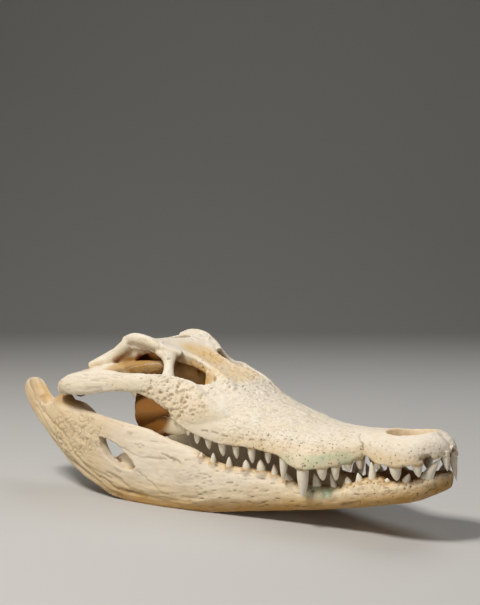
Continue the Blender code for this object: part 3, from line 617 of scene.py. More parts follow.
class Surface:
    """A bone's skin while it is carved: places, normals, the carving depth so far, and its colour masks."""

    def __init__(self, mesh):
        self.mesh = mesh
        self.points = triples(mesh.vertices, "co")
        self.normals = triples(mesh.vertex_normals, "vector")
        self.places, self.folded = head_places(self.points)
        self.upright = self.normals[:, 2]
        self.outward = self.normals[:, 1] * np.sign(self.places[:, 1])
        self.depth = np.zeros(len(self.points))
        self.masks = {name: np.zeros(len(self.points)) for name in MASKS}

    def pits(self, where, spacing, radius, depth, seed, dark):
        """Round pits, their sizes in mm, scattered over the part of the skin where the mask is above 0."""
        spacing, radius, depth = spacing * MM, radius * MM, depth * MM
        chosen = np.flatnonzero(where > 0.02)
        places = self.points[chosen]
        near = spot_distance(places + 0.35 * radius * sway(places, 1.2 * radius, seed + 90), spacing, seed)
        shape = eased(1 - near / radius) * where[chosen]
        self.depth[chosen] -= depth * shape
        # The pits are darkened too: painted shade in their hollows.
        self.masks["seam_dark_and_painted_shade"][chosen] = np.maximum(self.masks["seam_dark_and_painted_shade"][chosen], dark * shape)

    def groove(self, line, width, depth, dark, seed, wander=0.8, where=1.0):
        """A cut along a line, its sizes in mm; a line of (x, z) pairs is laid on the bone's outer side."""
        width, depth, wander = width * MM, depth * MM, wander * MM
        flat = len(line[0]) == 2
        looked = self.folded + sway(self.points, 5 * MM, seed) * wander / HEAD_LENGTH
        near = line_distance(looked[:, (0, 2)] if flat else looked, line) * HEAD_LENGTH
        facing = eased(self.outward * 4) if flat else 1.0
        strength = 0.75 + 0.25 * ripple(self.points, 9 * MM, seed + 7)
        shape = np.exp(-(near / width) ** 2) * facing * where * strength
        self.depth -= depth * shape
        # The groove is darkened along its line: a dark seam with painted shade in the cut.
        self.at_least("seam_dark_and_painted_shade", dark * shape)

    def gum(self, teeth, side, way):
        """The darker line where each tooth comes out of its socket."""
        for x, socket, tip, radius, lean in teeth:
            near = np.linalg.norm(self.folded[:, :2] - np.array((x, side(x))), axis=1) - radius
            above = way * (self.folded[:, 2] - socket)
            ring = np.exp(-(near / 0.0035) ** 2) * eased((above + 0.012) / 0.01)
            ring *= eased((way * self.upright + 0.1) / 0.4)
            self.tint(ring, stain_and_painted_shade=0.5)
            self.add("seam_dark_and_painted_shade", 0.35 * ring)

    def add(self, name, amount):
        """Adds to a mask, which stays from 0 to 1."""
        self.masks[name] = np.clip(self.masks[name] + amount, 0, 1)

    def at_least(self, name, amount):
        """Raises a mask where it is below the amount."""
        self.masks[name] = np.maximum(self.masks[name], amount)

    def tint(self, where, stain_and_painted_shade=0.0, painted_shade=0.0, clear_bleach_and_light=False):
        """Adds stain and painted warm shade to a part of the skin, paints deep shade there, and takes the
        sun's bleach and painted light off it where asked.
        """
        self.add("stain_and_painted_shade", stain_and_painted_shade * where)
        self.at_least("painted_shade", painted_shade * where)
        if clear_bleach_and_light:
            self.masks["bleach_and_painted_light"] *= 1 - where

    def finish(self, low_limit, high_limit):
        """Moves the skin by the carving and leaves the masks on it as vertex attributes."""
        self.points += self.normals * self.depth[:, None]
        self.points = np.clip(self.points, low_limit, high_limit)
        self.mesh.vertices.foreach_set("co", self.points.ravel())
        for name, values in self.masks.items():
            self.mesh.attributes.new(name, "FLOAT", "POINT").data.foreach_set("value", values)
        self.mesh.update()
        return self.mesh


BONE_NODES = ("rostrum", "jugal_arch_right", "jugal_arch_left", "pterygoids", "quadrate_right",
              "quadrate_left", "braincase_and_roof", "mandible_right", "mandible_left")


def cad_tree():
    """The whole specimen's plain faces, for finding out what lies in the shade of what."""
    corners, faces = [], []
    for obj in [obj for obj in bpy.data.objects if obj.name in BONE_NODES]:
        start = len(corners)
        corners += [obj.matrix_world @ v.co for v in obj.data.vertices]
        faces += [[start + i for i in p.vertices] for p in obj.data.polygons]
    return BVHTree.FromPolygons(corners, faces)


SHADE = cad_tree()
SHADE_RAYS = 24
SHADE_REACH = 0.07
SHADE_STEP = 14


def shut_in(surface):
    """How shut in each place is, 0 in the open and 1 deep inside: rays go out from every few points, and
    the rest take the mean of their nearest neighbours."""
    turn = math.pi * (3 - math.sqrt(5))
    globe = []
    for k, h in enumerate(np.linspace(-0.96, 0.96, SHADE_RAYS)):
        reach = math.sqrt(1 - h * h)
        globe.append(Vector((math.cos(turn * k) * reach, math.sin(turn * k) * reach, h)))
    chosen = range(0, len(surface.points), SHADE_STEP)
    index = kdtree.KDTree(len(chosen))
    found = []
    for count, i in enumerate(chosen):
        point, normal = Vector(surface.points[i]), Vector(surface.normals[i])
        start = point + normal * 2.5 * MM
        hits = sum(1 for ray in globe if SHADE.ray_cast(start, normal + ray, SHADE_REACH)[0] is not None)
        index.insert(point, count)
        found.append(hits / SHADE_RAYS)
    index.balance()
    values = np.empty(len(surface.points))
    for i, point in enumerate(surface.points):
        near = index.find_n(point, 4)
        values[i] = sum(found[k] for _, k, _ in near) / len(near)
    return values


# The carving of the cranium: lumps and wrinkles all over, pits where the hide was tied down, sutures and
# vessels. A suture or crack is a line of places on the right side, in head lengths, folded onto both sides.
JUGAL_SUTURE = (
    (0.289, 0.2, 0.261), (0.343, 0.188, 0.255), (0.381, 0.175, 0.259), (0.417, 0.156, 0.263),
    (0.434, 0.135, 0.265), (0.444, 0.119, 0.272), (0.447, 0.106, 0.279), (0.459, 0.096, 0.279),
    (0.473, 0.081, 0.281))
PREMAXILLA_SUTURE = (
    (0.775, 0.04, 0.243), (0.78, 0.057, 0.23), (0.792, 0.067, 0.223), (0.801, 0.071, 0.217),
    (0.804, 0.075, 0.208), (0.805, 0.078, 0.199), (0.807, 0.078, 0.18))
NASAL_SUTURE = (
    (0.6, 0.036, 0.256), (0.668, 0.025, 0.241), (0.69, 0.045, 0.236), (0.717, 0.049, 0.235),
    (0.731, 0.042, 0.237), (0.766, 0.029, 0.239), (0.8, 0.012, 0.243))
LACRIMAL_SUTURE = ((0.362, 0.105, 0.318), (0.4, 0.1, 0.305), (0.45, 0.08, 0.293), (0.47, 0.06, 0.292))
# Cracks and ledges of the skull table, eye bar and cheek: width, depth and darkness, then the line.
REAR_LINES = (
    (1.1, 1.0, 0.4, (0.055, 0.132, 0.418), (0.075, 0.123, 0.413), (0.113, 0.12, 0.407),
     (0.164, 0.124, 0.4)),
    (0.8, 0.8, 0.45, (0.162, 0.114, 0.428), (0.173, 0.119, 0.417), (0.171, 0.123, 0.403)),
    (0.6, 0.5, 0.45, (0.146, 0.114, 0.435), (0.169, 0.117, 0.422), (0.181, 0.118, 0.406),
     (0.198, 0.119, 0.391)),
    (1.1, 1.6, 0.95, (0.206, 0.119, 0.386), (0.21, 0.116, 0.385)),
    (0.7, 0.5, 0.35, (0.15, 0.03, 0.422), (0.196, 0.037, 0.405), (0.236, 0.039, 0.391)),
    (0.7, 0.5, 0.28, (-0.034, 0.258, 0.325), (0.031, 0.248, 0.338), (0.095, 0.239, 0.344),
     (0.151, 0.231, 0.343)),
    (0.7, 0.5, 0.26, (-0.052, 0.266, 0.304), (0.013, 0.261, 0.318), (0.078, 0.252, 0.325),
     (0.14, 0.243, 0.324)),
    (0.7, 0.4, 0.24, (0.001, 0.266, 0.301), (0.066, 0.256, 0.308), (0.114, 0.249, 0.311)),
    (0.8, 0.5, 0.25, (-0.046, 0.16, 0.37), (-0.019, 0.146, 0.383), (0.02, 0.142, 0.399),
     (0.04, 0.137, 0.413)),
    (0.7, 0.5, 0.4, (0.361, 0.071, 0.341), (0.395, 0.07, 0.328), (0.411, 0.044, 0.316),
     (0.436, 0.023, 0.308)))
MAXILLA_SLITS = (
    ((0.387, 0.215), (0.403, 0.216)), ((0.415, 0.214), (0.431, 0.213)), ((0.446, 0.208), (0.458, 0.207)),
    ((0.488, 0.206), (0.502, 0.206)), ((0.521, 0.205), (0.533, 0.205)), ((0.551, 0.207), (0.563, 0.207)))
BAR_SLITS = (
    ((-0.06, 0.3), (-0.035, 0.304)), ((-0.01, 0.322), (0.03, 0.33)), ((0.04, 0.303), (0.085, 0.308)),
    ((0.06, 0.326), (0.1, 0.334)), ((0.13, 0.303), (0.155, 0.305)))


def carve_all_over(surface):
    """The slow unevenness and fine wrinkling that every bone has."""
    points = surface.points
    surface.depth += 0.45 * MM * ripple(points, 21 * MM, 11) + 0.28 * MM * ripple(points, 9 * MM, 12)
    surface.depth += 0.14 * MM * ripple(points, 4 * MM, 13)


skin = Surface(cranium)
shut = shut_in(skin)
# Painted shade: places that the rays find shut in are darkened towards deep orange brown.
skin.masks["painted_shade"] = eased((shut - 0.3) / 0.55)
in_the_open = 1 - eased((shut - 0.35) / 0.3)
naris_wall = np.linalg.norm((skin.places - np.array(NARIS_PLACE)) / np.array(NARIS_RADII), axis=1)
naris_wall = eased((1.1 - naris_wall) / 0.07)
carve_all_over(skin)
along, high, upright = skin.folded[:, 0], skin.folded[:, 2], skin.upright

# Deep pits on the cheek under the eye, shallower ones on the brow, the far side's hump and the skull table.
cheek = patch(skin.folded, (0.285, 0.19, 0.29), (0.135, 0.05, 0.062)) * in_the_open
skin.pits(cheek, 6.4, 3.4, 2.2, 21, dark=0.38)
skin.pits(cheek, 4.2, 1.9, 1.5, 22, dark=0.65)
brow = np.maximum(patch(skin.folded, (0.385, 0.075, 0.325), (0.075, 0.075, 0.04)),
                  patch(skin.folded, (0.29, 0.02, 0.365), (0.11, 0.05, 0.04)))
brow = np.maximum(brow, 0.8 * patch(skin.folded, (0.43, 0.03, 0.31), (0.08, 0.055, 0.035))) * in_the_open
skin.pits(brow, 5.0, 2.3, 1.4, 23, dark=0.45)
skin.depth += brow * 0.45 * MM * ripple(skin.points, 3.2 * MM, 24)
hump = patch(skin.folded, (0.175, 0.085, 0.435), (0.085, 0.045, 0.032)) * in_the_open
hump *= skin.places[:, 1] > 0
skin.depth += hump * 0.45 * MM * ripple(skin.points, 4.0 * MM, 36)
skin.pits(hump, 5.0, 1.8, 0.9, 37, dark=0.45)
ridge = between(along, 0.33, 0.38, 0.62, 0.74) * eased((upright - 0.45) / 0.3) * in_the_open
skin.depth += ridge * 0.55 * MM * ripple(skin.points, 6.5 * MM, 38)
table = patch(skin.folded, (0.09, 0.07, 0.44), (0.125, 0.085, 0.035)) * in_the_open
skin.pits(table, 6.5, 2.2, 0.7, 25, dark=0.2)

# The snout's wrinkles, a fine net of lines between them, and the nerve pores, which crowd along its lips.
muzzle = between(along, 0.38, 0.48, 1.05, 1.1) * eased((high - 0.17) / 0.03) * in_the_open
muzzle *= (1 - naris_wall) * (1 - 0.55 * eased((along - 0.72) / 0.08))
wrinkle = ripple(skin.points, (5.0 * MM, 3.0 * MM, 3.0 * MM), 26)
skin.depth -= muzzle * 0.6 * MM * eased(1 - np.abs(wrinkle) / 0.25)
# The wrinkles and the fine net are darkened along their lines: painted shade in the creases.
skin.add("seam_dark_and_painted_shade", muzzle * 0.22 * eased(1 - np.abs(wrinkle) / 0.16))
network = ripple(skin.points, (3.4 * MM, 2.4 * MM, 2.4 * MM), 35)
skin.depth -= muzzle * 0.28 * MM * eased(1 - np.abs(network) / 0.3)
skin.add("seam_dark_and_painted_shade", muzzle * 0.14 * eased(1 - np.abs(network) / 0.2))
skin.pits(muzzle * eased((high - 0.215) / 0.03), 7.5, 1.5, 0.6, 28, dark=0.25)
lip = eased((0.245 - high) / 0.035) * between(along, 0.42, 0.5, 0.985, 1.0) * in_the_open
skin.pits(lip, 6.4, 1.2, 1.1, 29, dark=0.75)
front_lip = between(along, 0.8, 0.84, 0.99, 1.02) * eased((0.25 - high) / 0.03) * in_the_open
skin.pits(front_lip, 5.0, 1.2, 1.2, 30, dark=0.65)

# Lengthwise streaks on the bar of bone that runs back from the cheek to the jaw joint.
bar = between(along, -0.12, -0.08, 0.14, 0.22) * eased((0.36 - high) / 0.02) * in_the_open
streak = ripple(skin.points, (22 * MM, 2.6 * MM, 2.6 * MM), 31)
skin.depth += bar * 0.32 * MM * streak
# Painted shade: the streaks' hollows are darkened, and the whole rear of the skull a little.
skin.add("seam_dark_and_painted_shade", bar * 0.25 * eased((-streak - 0.35) / 0.3) + 0.05 * (1 - eased((along - 0.2) / 0.15)))
skin.pits(bar * between(along, 0.06, 0.12, 0.3, 0.4), 6.5, 1.6, 0.8, 32, dark=0.7)

# Sutures, ledges and vessel slits, and the seam that parts the snout down the middle of its top.
skin.groove(JUGAL_SUTURE, 0.7, 0.35, 0.55, 41, wander=2.0)
skin.groove(PREMAXILLA_SUTURE, 0.75, 0.8, 0.95, 42, wander=1.6)
skin.groove(NASAL_SUTURE, 0.6, 0.4, 0.35, 43, wander=3.2, where=eased(upright * 2))
skin.groove(LACRIMAL_SUTURE, 0.7, 0.35, 0.4, 44, wander=2.4, where=in_the_open)
for count, (width, depth, dark, *line) in enumerate(REAR_LINES):
    skin.groove(line, width, depth, dark, 150 + 9 * count, wander=0.9)
edge = patch(skin.folded, (0.25, 0.19, 0.342), (0.085, 0.06, 0.014)) * in_the_open
skin.pits(edge, 4.4, 2.0, 1.5, 39, dark=0.35)
for count, slit in enumerate(MAXILLA_SLITS):
    skin.groove(slit, 0.9, 0.9, 0.75, 50 + count, where=in_the_open)
for count, slit in enumerate(BAR_SLITS):
    skin.groove(slit, 0.8, 0.6, 0.35, 60 + count, wander=1.5, where=in_the_open)
middle = np.abs(skin.places[:, 1] + 0.006 * ripple(skin.points, 9 * MM, 45)) * HEAD_LENGTH
seam = np.exp(-(middle / (0.8 * MM)) ** 2) * between(along, 0.4, 0.46, 0.8, 0.84) * eased(upright * 2)
skin.depth -= 0.5 * MM * seam
skin.add("seam_dark_and_painted_shade", 0.32 * seam)
tip_seam = np.exp(-(skin.places[:, 1] / 0.01) ** 2) * eased((along - 0.955) / 0.02)
skin.depth -= 2.6 * MM * tip_seam * in_the_open
skin.add("seam_dark_and_painted_shade", 0.25 * np.exp(-(skin.places[:, 1] / 0.003) ** 2) * eased((along - 0.955) / 0.02))

# The hole for the spinal cord, a hollow above the knob that joins the neck.
SPINE_HOLE_DEPTH = 8 * MM
spine_hole = patch(skin.folded * (0, 1, 1), (0, 0, 0.371), (1, 0.0175, 0.0145), 0.35)
spine_hole *= eased((0.01 - along) / 0.01) * eased((-skin.normals[:, 0] - 0.4) / 0.3)
skin.depth -= SPINE_HOLE_DEPTH * spine_hole
# The hollow is painted deep shade and near black.
skin.at_least("painted_shade", spine_hole)
skin.add("seam_dark_and_painted_shade", 0.8 * spine_hole)

# The colouring: sun bleach and painted light where it looks up and at the muzzle's front, painted warm shade
# and deep painted shade in the eye socket, ear, gully and wing, and painted shade towards the palate.
skin.add("pores", 0.12 * muzzle + 0.8 * lip + 0.3 * cheek + 0.35 * brow + 0.3 * table + 0.15 * bar)
# Sun bleach and painted light: faces that look up, and the muzzle's front, are painted paler in the open.
skin.masks["bleach_and_painted_light"] = eased((upright - 0.1) / 0.8) * in_the_open
front = between(along, 0.76, 0.84, 1.1, 1.2) * eased((high - 0.19) / 0.03) * in_the_open * (1 - naris_wall)
skin.at_least("bleach_and_painted_light", 0.9 * front)
# Painted shade under the snout's sides, towards the palate.
mouth = eased(-(upright + 0.3) / 0.3) * eased((0.24 - high) / 0.02) * between(along, 0.3, 0.36, 1.1, 1.2)
mouth *= eased((snout_half_width(along) - 0.02 - skin.folded[:, 1]) / 0.01)
skin.at_least("painted_shade", 0.5 * mouth)
skin.tint(cheek, stain_and_painted_shade=0.2)
# Painted warm shade and deep painted shade on the eye socket's front wall.
socket_front = patch(skin.folded, (0.352, 0.105, 0.345), (0.035, 0.05, 0.04), 0.6)
socket_front *= eased((-skin.normals[:, 0] - 0.15) / 0.4)
skin.tint(socket_front, stain_and_painted_shade=0.7, painted_shade=0.45)
# Painted warm shade on the eye socket's inner wall: a golden tone for the warm light in its shade, with less
# of the deep painted shade.
socket_wall = between(along, 0.12, 0.15, 0.29, 0.33) * eased((0.085 - skin.folded[:, 1]) / 0.02)
socket_wall *= eased((0.4 - high) / 0.02) * eased((shut - 0.2) / 0.15)
skin.tint(socket_wall, stain_and_painted_shade=1.0)
skin.masks["painted_shade"] *= 1 - 0.35 * socket_wall
skin.tint(patch(skin.folded, (0.235, 0.0, 0.395), (0.1, 0.05, 0.035), 0.8), stain_and_painted_shade=0.8)
skin.tint(patch(skin.folded, (0.345, 0.02, 0.35), (0.08, 0.055, 0.03), 0.9), stain_and_painted_shade=0.55)
# Inside the nostril the painted shade is laid afresh, darker lower down.
skin.masks["painted_shade"] *= 1 - naris_wall
skin.add("painted_shade", 0.75 * naris_wall * eased((0.243 - high) / 0.025))
skin.tint(naris_wall, stain_and_painted_shade=0.42)
# Painted warm shade and deep painted shade on the ear's wall under the skull table, where the bleach and
# painted light are taken off.
ear = patch(skin.folded, (0.105, 0.108, 0.36), (0.08, 0.06, 0.03), 0.4) * eased((0.385 - high) / 0.01)
skin.tint(ear, stain_and_painted_shade=1.0, painted_shade=0.55, clear_bleach_and_light=True)
# Painted warm shade and some deep painted shade under the squamosal horn, with bleach and painted light
# taken off.
gully = between(along, -0.075, -0.05, 0.06, 0.1)
gully *= patch(skin.folded * (0, 1, 1), (0, 0.165, 0.36), (1, 0.055, 0.022), 0.4)
gully *= 1 - between(along, -0.2, -0.15, 0.02, 0.05) * eased((high - 0.341) / 0.008)
skin.tint(gully, stain_and_painted_shade=0.9, painted_shade=0.3, clear_bleach_and_light=True)
# Painted warm shade and deep painted shade on the pterygoid wing below the cheek, darkened further above its
# lower edge.
wing = patch(skin.folded, (0.16, 0.115, 0.225), (0.15, 0.085, 0.06), 0.4)
skin.tint(wing, stain_and_painted_shade=1.0)
wing = eased(wing * 1.6) * (1 - eased((high - 0.275) / 0.02))
skin.at_least("painted_shade", wing)
skin.add("seam_dark_and_painted_shade", 0.3 * wing * eased((high - 0.215) / 0.01))
skin.tint(eased((0.225 - high) / 0.03) * between(along, 0.4, 0.5, 1.0, 1.1), stain_and_painted_shade=0.3)
skin.add("green", 0.55 * patch(skin.folded, (0.69, 0.12, 0.168), (0.09, 0.05, 0.02), 0.9))
skin.add("green", 0.45 * patch(skin.folded, (0.77, 0.098, 0.184), (0.05, 0.05, 0.018), 0.9))
skin.gum(UPPER_TEETH, upper_side, -1)
cranium = skin.finish(cad_low, cad_high)


# The colours of bone: sun-bleached and painted light, tan blotches, the brown of fibres, yellow stain that
# also paints warm shade, the painted deep orange brown shade of shut-in places, green bloom, the near black
# of pores, and of cracks with painted shade in creases.
BLEACHED_AND_LIT = (0.87, 0.81, 0.73)
TAN = (0.7, 0.57, 0.36)
FIBRE_BROWN = (0.62, 0.5, 0.33)
STAIN_AND_SHADE_YELLOW = (0.75, 0.47, 0.14)
PAINTED_SHADE_BROWN = (0.25, 0.088, 0.004)
BLOOM_GREEN = (0.5, 0.62, 0.42)
PORE_BROWN = (0.1, 0.055, 0.03)
SEAM_AND_SHADE_BROWN = (0.16, 0.085, 0.033)


class NodeWriter:
    """Writes nodes into a tree. What goes into a socket is a plain value or another node's socket."""

    def plug(self, value, socket):
        if isinstance(value, bpy.types.NodeSocket):
            self.tree.links.new(value, socket)
        else:
            socket.default_value = value

    def node(self, kind, inputs=(), **settings):
        made = self.tree.nodes.new(kind)
        for key, value in settings.items():
            setattr(made, key, value)
        for key, value in dict(inputs).items():
            self.plug(value, made.inputs[key])
        return made

    def math(self, operation, first, second=0.0):
        return self.node("ShaderNodeMath", {0: first, 1: second}, operation=operation).outputs[0]

    def product(self, total, *factors):
        for factor in factors:
            total = self.math("MULTIPLY", total, factor)
        return total


class Shading(NodeWriter):
    """Writes a material from noise, spots and the skin's masks."""

    def __init__(self, name):
        self.material = bpy.data.materials.new(name)
        self.material.use_nodes = True
        self.tree = self.material.node_tree
        self.shader = self.tree.nodes["Principled BSDF"]
        self.place = self.node("ShaderNodeTexCoord").outputs["Object"]

    def mask(self, name):
        return self.node("ShaderNodeAttribute", attribute_name=name).outputs["Fac"]

    def ramp(self, value, low, high, to_low=0.0, to_high=1.0):
        given = dict(enumerate((value, low, high, to_low, to_high)))
        return self.node("ShaderNodeMapRange", given).outputs["Result"]

    def stretched(self, scale):
        return self.node("ShaderNodeMapping", {"Vector": self.place, "Scale": scale}).outputs["Vector"]

    def noise(self, scale, detail=3.0, roughness=0.55, vector=None):
        given = {"Vector": vector or self.place, "Scale": scale, "Detail": detail, "Roughness": roughness}
        return self.node("ShaderNodeTexNoise", given).outputs["Fac"]

    def spots(self, scale, radius):
        """1 in scattered dots, 0 elsewhere."""
        made = self.node("ShaderNodeTexVoronoi", {"Vector": self.place, "Scale": scale})
        return self.ramp(made.outputs["Distance"], radius, radius * 0.4)

    def mixed(self, share, first, second):
        made = self.node("ShaderNodeMix", {"Factor": share}, data_type="RGBA")
        colours = [socket for socket in made.inputs if socket.type == "RGBA"]
        for given, socket in zip((first, second), colours):
            self.plug((*given, 1.0) if isinstance(given, tuple) else given, socket)
        return [socket for socket in made.outputs if socket.type == "RGBA"][0]

    def bump(self, height, distance, strength=1.0, normal=None):
        given = {"Height": height, "Distance": distance, "Strength": strength}
        if normal is not None:
            given["Normal"] = normal
        return self.node("ShaderNodeBump", given).outputs["Normal"]

    def set(self, **sockets):
        for name, value in sockets.items():
            self.plug(value, self.shader.inputs[name.replace("_", " ")])
        return self.material


def bone_material(name, cream, pale):
    """Dry bone between two tones of its own, under the stains, pores, painted light and painted shade that
    its masks give.
    """
    paint = Shading(name)
    broad = paint.noise(14.0, 4.0)
    middling = paint.noise(60.0, 5.0, 0.65)
    fine = paint.noise(420.0, 3.0, 0.6)
    fibres = paint.noise(260.0, 3.0, 0.6, paint.stretched((0.12, 1.0, 1.0)))
    colour = paint.mixed(paint.ramp(broad, 0.35, 0.65), cream, pale)
    # Sun bleach and painted light: paler where the faces look up or are lit.
    bleach_and_light_share = paint.product(paint.mask("bleach_and_painted_light"), paint.ramp(middling, 0.3, 0.7, 0.2, 0.8))
    colour = paint.mixed(bleach_and_light_share, colour, BLEACHED_AND_LIT)
    colour = paint.mixed(paint.ramp(middling, 0.5, 0.75, 0.0, 0.35), colour, TAN)
    colour = paint.mixed(paint.ramp(fibres, 0.55, 0.75, 0.0, 0.22), colour, FIBRE_BROWN)
    # Yellow stain, which also paints warm shade in the eye socket, ear, gully, wing, keel and tail.
    stain_and_shade_share = paint.product(paint.mask("stain_and_painted_shade"), paint.ramp(middling, 0.25, 0.6, 0.35, 1.0))
    colour = paint.mixed(stain_and_shade_share, colour, STAIN_AND_SHADE_YELLOW)
    # Painted shade, deep orange brown, in shut-in places.
    painted_shade_share = paint.product(paint.mask("painted_shade"), paint.ramp(broad, 0.3, 0.6, 0.94, 1.0))
    colour = paint.mixed(painted_shade_share, colour, PAINTED_SHADE_BROWN)
    greened = paint.product(paint.mask("green"), paint.ramp(middling, 0.4, 0.6))
    colour = paint.mixed(greened, colour, BLOOM_GREEN)
    dots = paint.product(paint.spots(260.0, 0.26), paint.mask("pores"))
    larger = paint.product(paint.spots(120.0, 0.17), paint.mask("pores"))
    dots = paint.math("MAXIMUM", dots, larger)
    dots = paint.product(dots, paint.ramp(paint.noise(170.0, 1.0), 0.38, 0.62, 0.25, 1.0))
    colour = paint.mixed(dots, colour, PORE_BROWN)
    # Near black of dark seams, and painted shade in creases, pits, grooves and hollows.
    colour = paint.mixed(paint.mask("seam_dark_and_painted_shade"), colour, SEAM_AND_SHADE_BROWN)
    rough = paint.math("MAXIMUM", paint.ramp(middling, 0.3, 0.7, 0.46, 0.66),
                       paint.product(paint.mask("painted_shade"), 0.92))
    normal = paint.bump(fine, 0.00022)
    normal = paint.bump(fibres, 0.0003, 0.6, normal)
    normal = paint.bump(middling, 0.0009, 0.5, normal)
    normal = paint.bump(paint.product(dots, -1.0), 0.0008, 1.0, normal)
    return paint.set(Base_Color=colour, Roughness=rough, Normal=normal, Subsurface_Weight=0.04,
                     Subsurface_Radius=(0.004, 0.002, 0.001), Specular_IOR_Level=0.3)


cranium_bone = bone_material("cranium_bone", (0.78, 0.66, 0.46), (0.83, 0.74, 0.58))
cranium.materials.append(cranium_bone)
cranium.materials.append(cranium_bone)

CUT_STEP = 4 * MM


def rough_cutter(name, low, high, pivot=(0, 0, 0), turn=(0, 0, 0), waver=1.6 * MM):
    """A box between two corners in head lengths, turned about a pivot, whose faces waver like a suture."""
    low, high, pivot = Vector(low), Vector(high), Vector(pivot)
    place = (Matrix.Scale(HEAD_LENGTH, 4) @ Matrix.Translation((-MIDDLE, 0, 0)) @ Matrix.Translation(pivot)
             @ turned(turn, 4) @ Matrix.Translation(-pivot))
    bm = bmesh.new()
    for axis in range(3):
        across, up = [k for k in range(3) if k != axis]
        counts = [max(2, int((high[k] - low[k]) * HEAD_LENGTH / CUT_STEP)) for k in (across, up)]
        for end in (low, high):
            grid = []
            for i in range(counts[0] + 1):
                row = []
                for j in range(counts[1] + 1):
                    corner = Vector((0, 0, 0))
                    corner[axis] = end[axis]
                    corner[across] = low[across] + (high[across] - low[across]) * i / counts[0]
                    corner[up] = low[up] + (high[up] - low[up]) * j / counts[1]
                    row.append(bm.verts.new(place @ corner))
                grid.append(row)
            for i in range(counts[0]):
                for j in range(counts[1]):
                    bm.faces.new((grid[i][j], grid[i + 1][j], grid[i + 1][j + 1], grid[i][j + 1]))
    bmesh.ops.remove_doubles(bm, verts=bm.verts, dist=1e-5)
    bmesh.ops.triangulate(bm, faces=bm.faces)
    bmesh.ops.recalc_face_normals(bm, faces=bm.faces)
    mesh = mesh_of(name, bm)
    corners = triples(mesh.vertices, "co")
    corners += sway(corners, 7 * MM, 60) * waver
    mesh.vertices.foreach_set("co", corners.ravel())
    mesh.polygons.foreach_set("material_index", np.ones(len(mesh.polygons), dtype=np.int32))
    mesh.materials.append(cranium_bone)
    mesh.materials.append(cranium_bone)
    return mesh


# The regions the cranium is parted into, in the order they are taken: name, two corners, pivot, and its turn
# in degrees. What is left over is the braincase and roof.
CRANIUM_REGIONS = (
    ("rostrum", (0.345, -0.3, 0.05), (1.1, 0.3, 0.6), (0.345, 0, 0.285), (0, 19.5, 0)),
    ("jugal_arch_right", (-0.25, -0.36, 0.236), (0.45, -0.1925, 0.366), (0.115, -0.1925, 0.3), (0, 0, 11.2)),
    ("jugal_arch_left", (-0.25, 0.1925, 0.236), (0.45, 0.36, 0.366), (0.115, 0.1925, 0.3), (0, 0, -11.2)),
    ("pterygoids", (-0.02, -0.3, 0.1), (0.6, 0.3, 0.283), (0, 0, 0), (0, 0, 0)),
    ("quadrate_right", (-0.25, -0.4, 0.15), (0.2, -0.098, 0.34), (0, -0.17, 0.34), (22, 0, 0)),
    ("quadrate_left", (-0.25, 0.098, 0.15), (0.2, 0.4, 0.34), (0, 0.17, 0.34), (-22, 0, 0)),
)


def stand_for(piece, node):
    """A finished piece takes the place of its plain node."""
    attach(piece, "root")
    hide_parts(node)


def show(name, mesh, node):
    """Puts a finished bone in its node's place: outer skin smooth, parted faces flat."""
    parted = np.empty(len(mesh.polygons), dtype=np.int32)
    mesh.polygons.foreach_get("material_index", parted)
    mesh.polygons.foreach_set("use_smooth", parted == 0)
    mesh.polygons.foreach_set("material_index", np.zeros(len(mesh.polygons), dtype=np.int32))
    while len(mesh.materials) > 1:
        mesh.materials.pop()
    stand_for(placed(name, mesh), node)


rest = cranium
for name, low, high, pivot, turn in CRANIUM_REGIONS:
    cutter = rough_cutter(name + "_cutter", low, high, pivot, turn)
    bone = outer_shell(cut_by(rest.copy(), [cutter.copy()], "INTERSECT"))
    rest = cut_by(rest, [cutter])
    show(name + "_bone", bone, name)
show("braincase_and_roof_bone", outer_shell(rest), "braincase_and_roof")

# ---- Lower jaw: the two rami, dense dry bone with a long window behind and a tooth row in front. They meet
# at the midplane of the chin, carry the cranium on their rear joints, and rest on the floor by their lower
# borders.

jaw_outer = profile(
    (-0.313, 0.214), (-0.29, 0.226), (-0.25, 0.235), (-0.2, 0.24), (-0.12, 0.248), (-0.05, 0.252),
    (0.0, 0.25), (0.1, 0.243), (0.2, 0.228), (0.3, 0.207), (0.4, 0.18), (0.5, 0.151), (0.6, 0.124),
    (0.65, 0.112), (0.7, 0.102), (0.75, 0.094), (0.8, 0.089), (0.85, 0.088), (0.9, 0.08), (0.94, 0.066),
    (0.965, 0.05), (0.98, 0.034), (0.99, 0.016))
jaw_thickness = profile(
    (-0.313, 0.022), (-0.29, 0.046), (-0.25, 0.06), (-0.2, 0.064), (-0.12, 0.078), (-0.06, 0.075),
    (0.0, 0.036), (0.1, 0.03), (0.2, 0.036), (0.3, 0.044), (0.4, 0.05), (0.5, 0.05), (0.6, 0.052),
    (0.7, 0.062), (0.76, 0.08), (0.79, 0.092), (0.8, 0.095))
jaw_bottom = profile(
    (-0.313, 0.255), (-0.26, 0.196), (-0.2, 0.148), (-0.121, 0.09), (-0.064, 0.058), (0.014, 0.031),
    (0.069, 0.015), (0.125, 0.004), (0.16, -0.003), (0.28, -0.006), (0.37, -0.003), (0.423, 0.005),
    (0.526, 0.018), (0.619, 0.031), (0.689, 0.042), (0.752, 0.053), (0.813, 0.066), (0.872, 0.081),
    (0.924, 0.096), (0.959, 0.11), (0.976, 0.12), (0.99, 0.132))
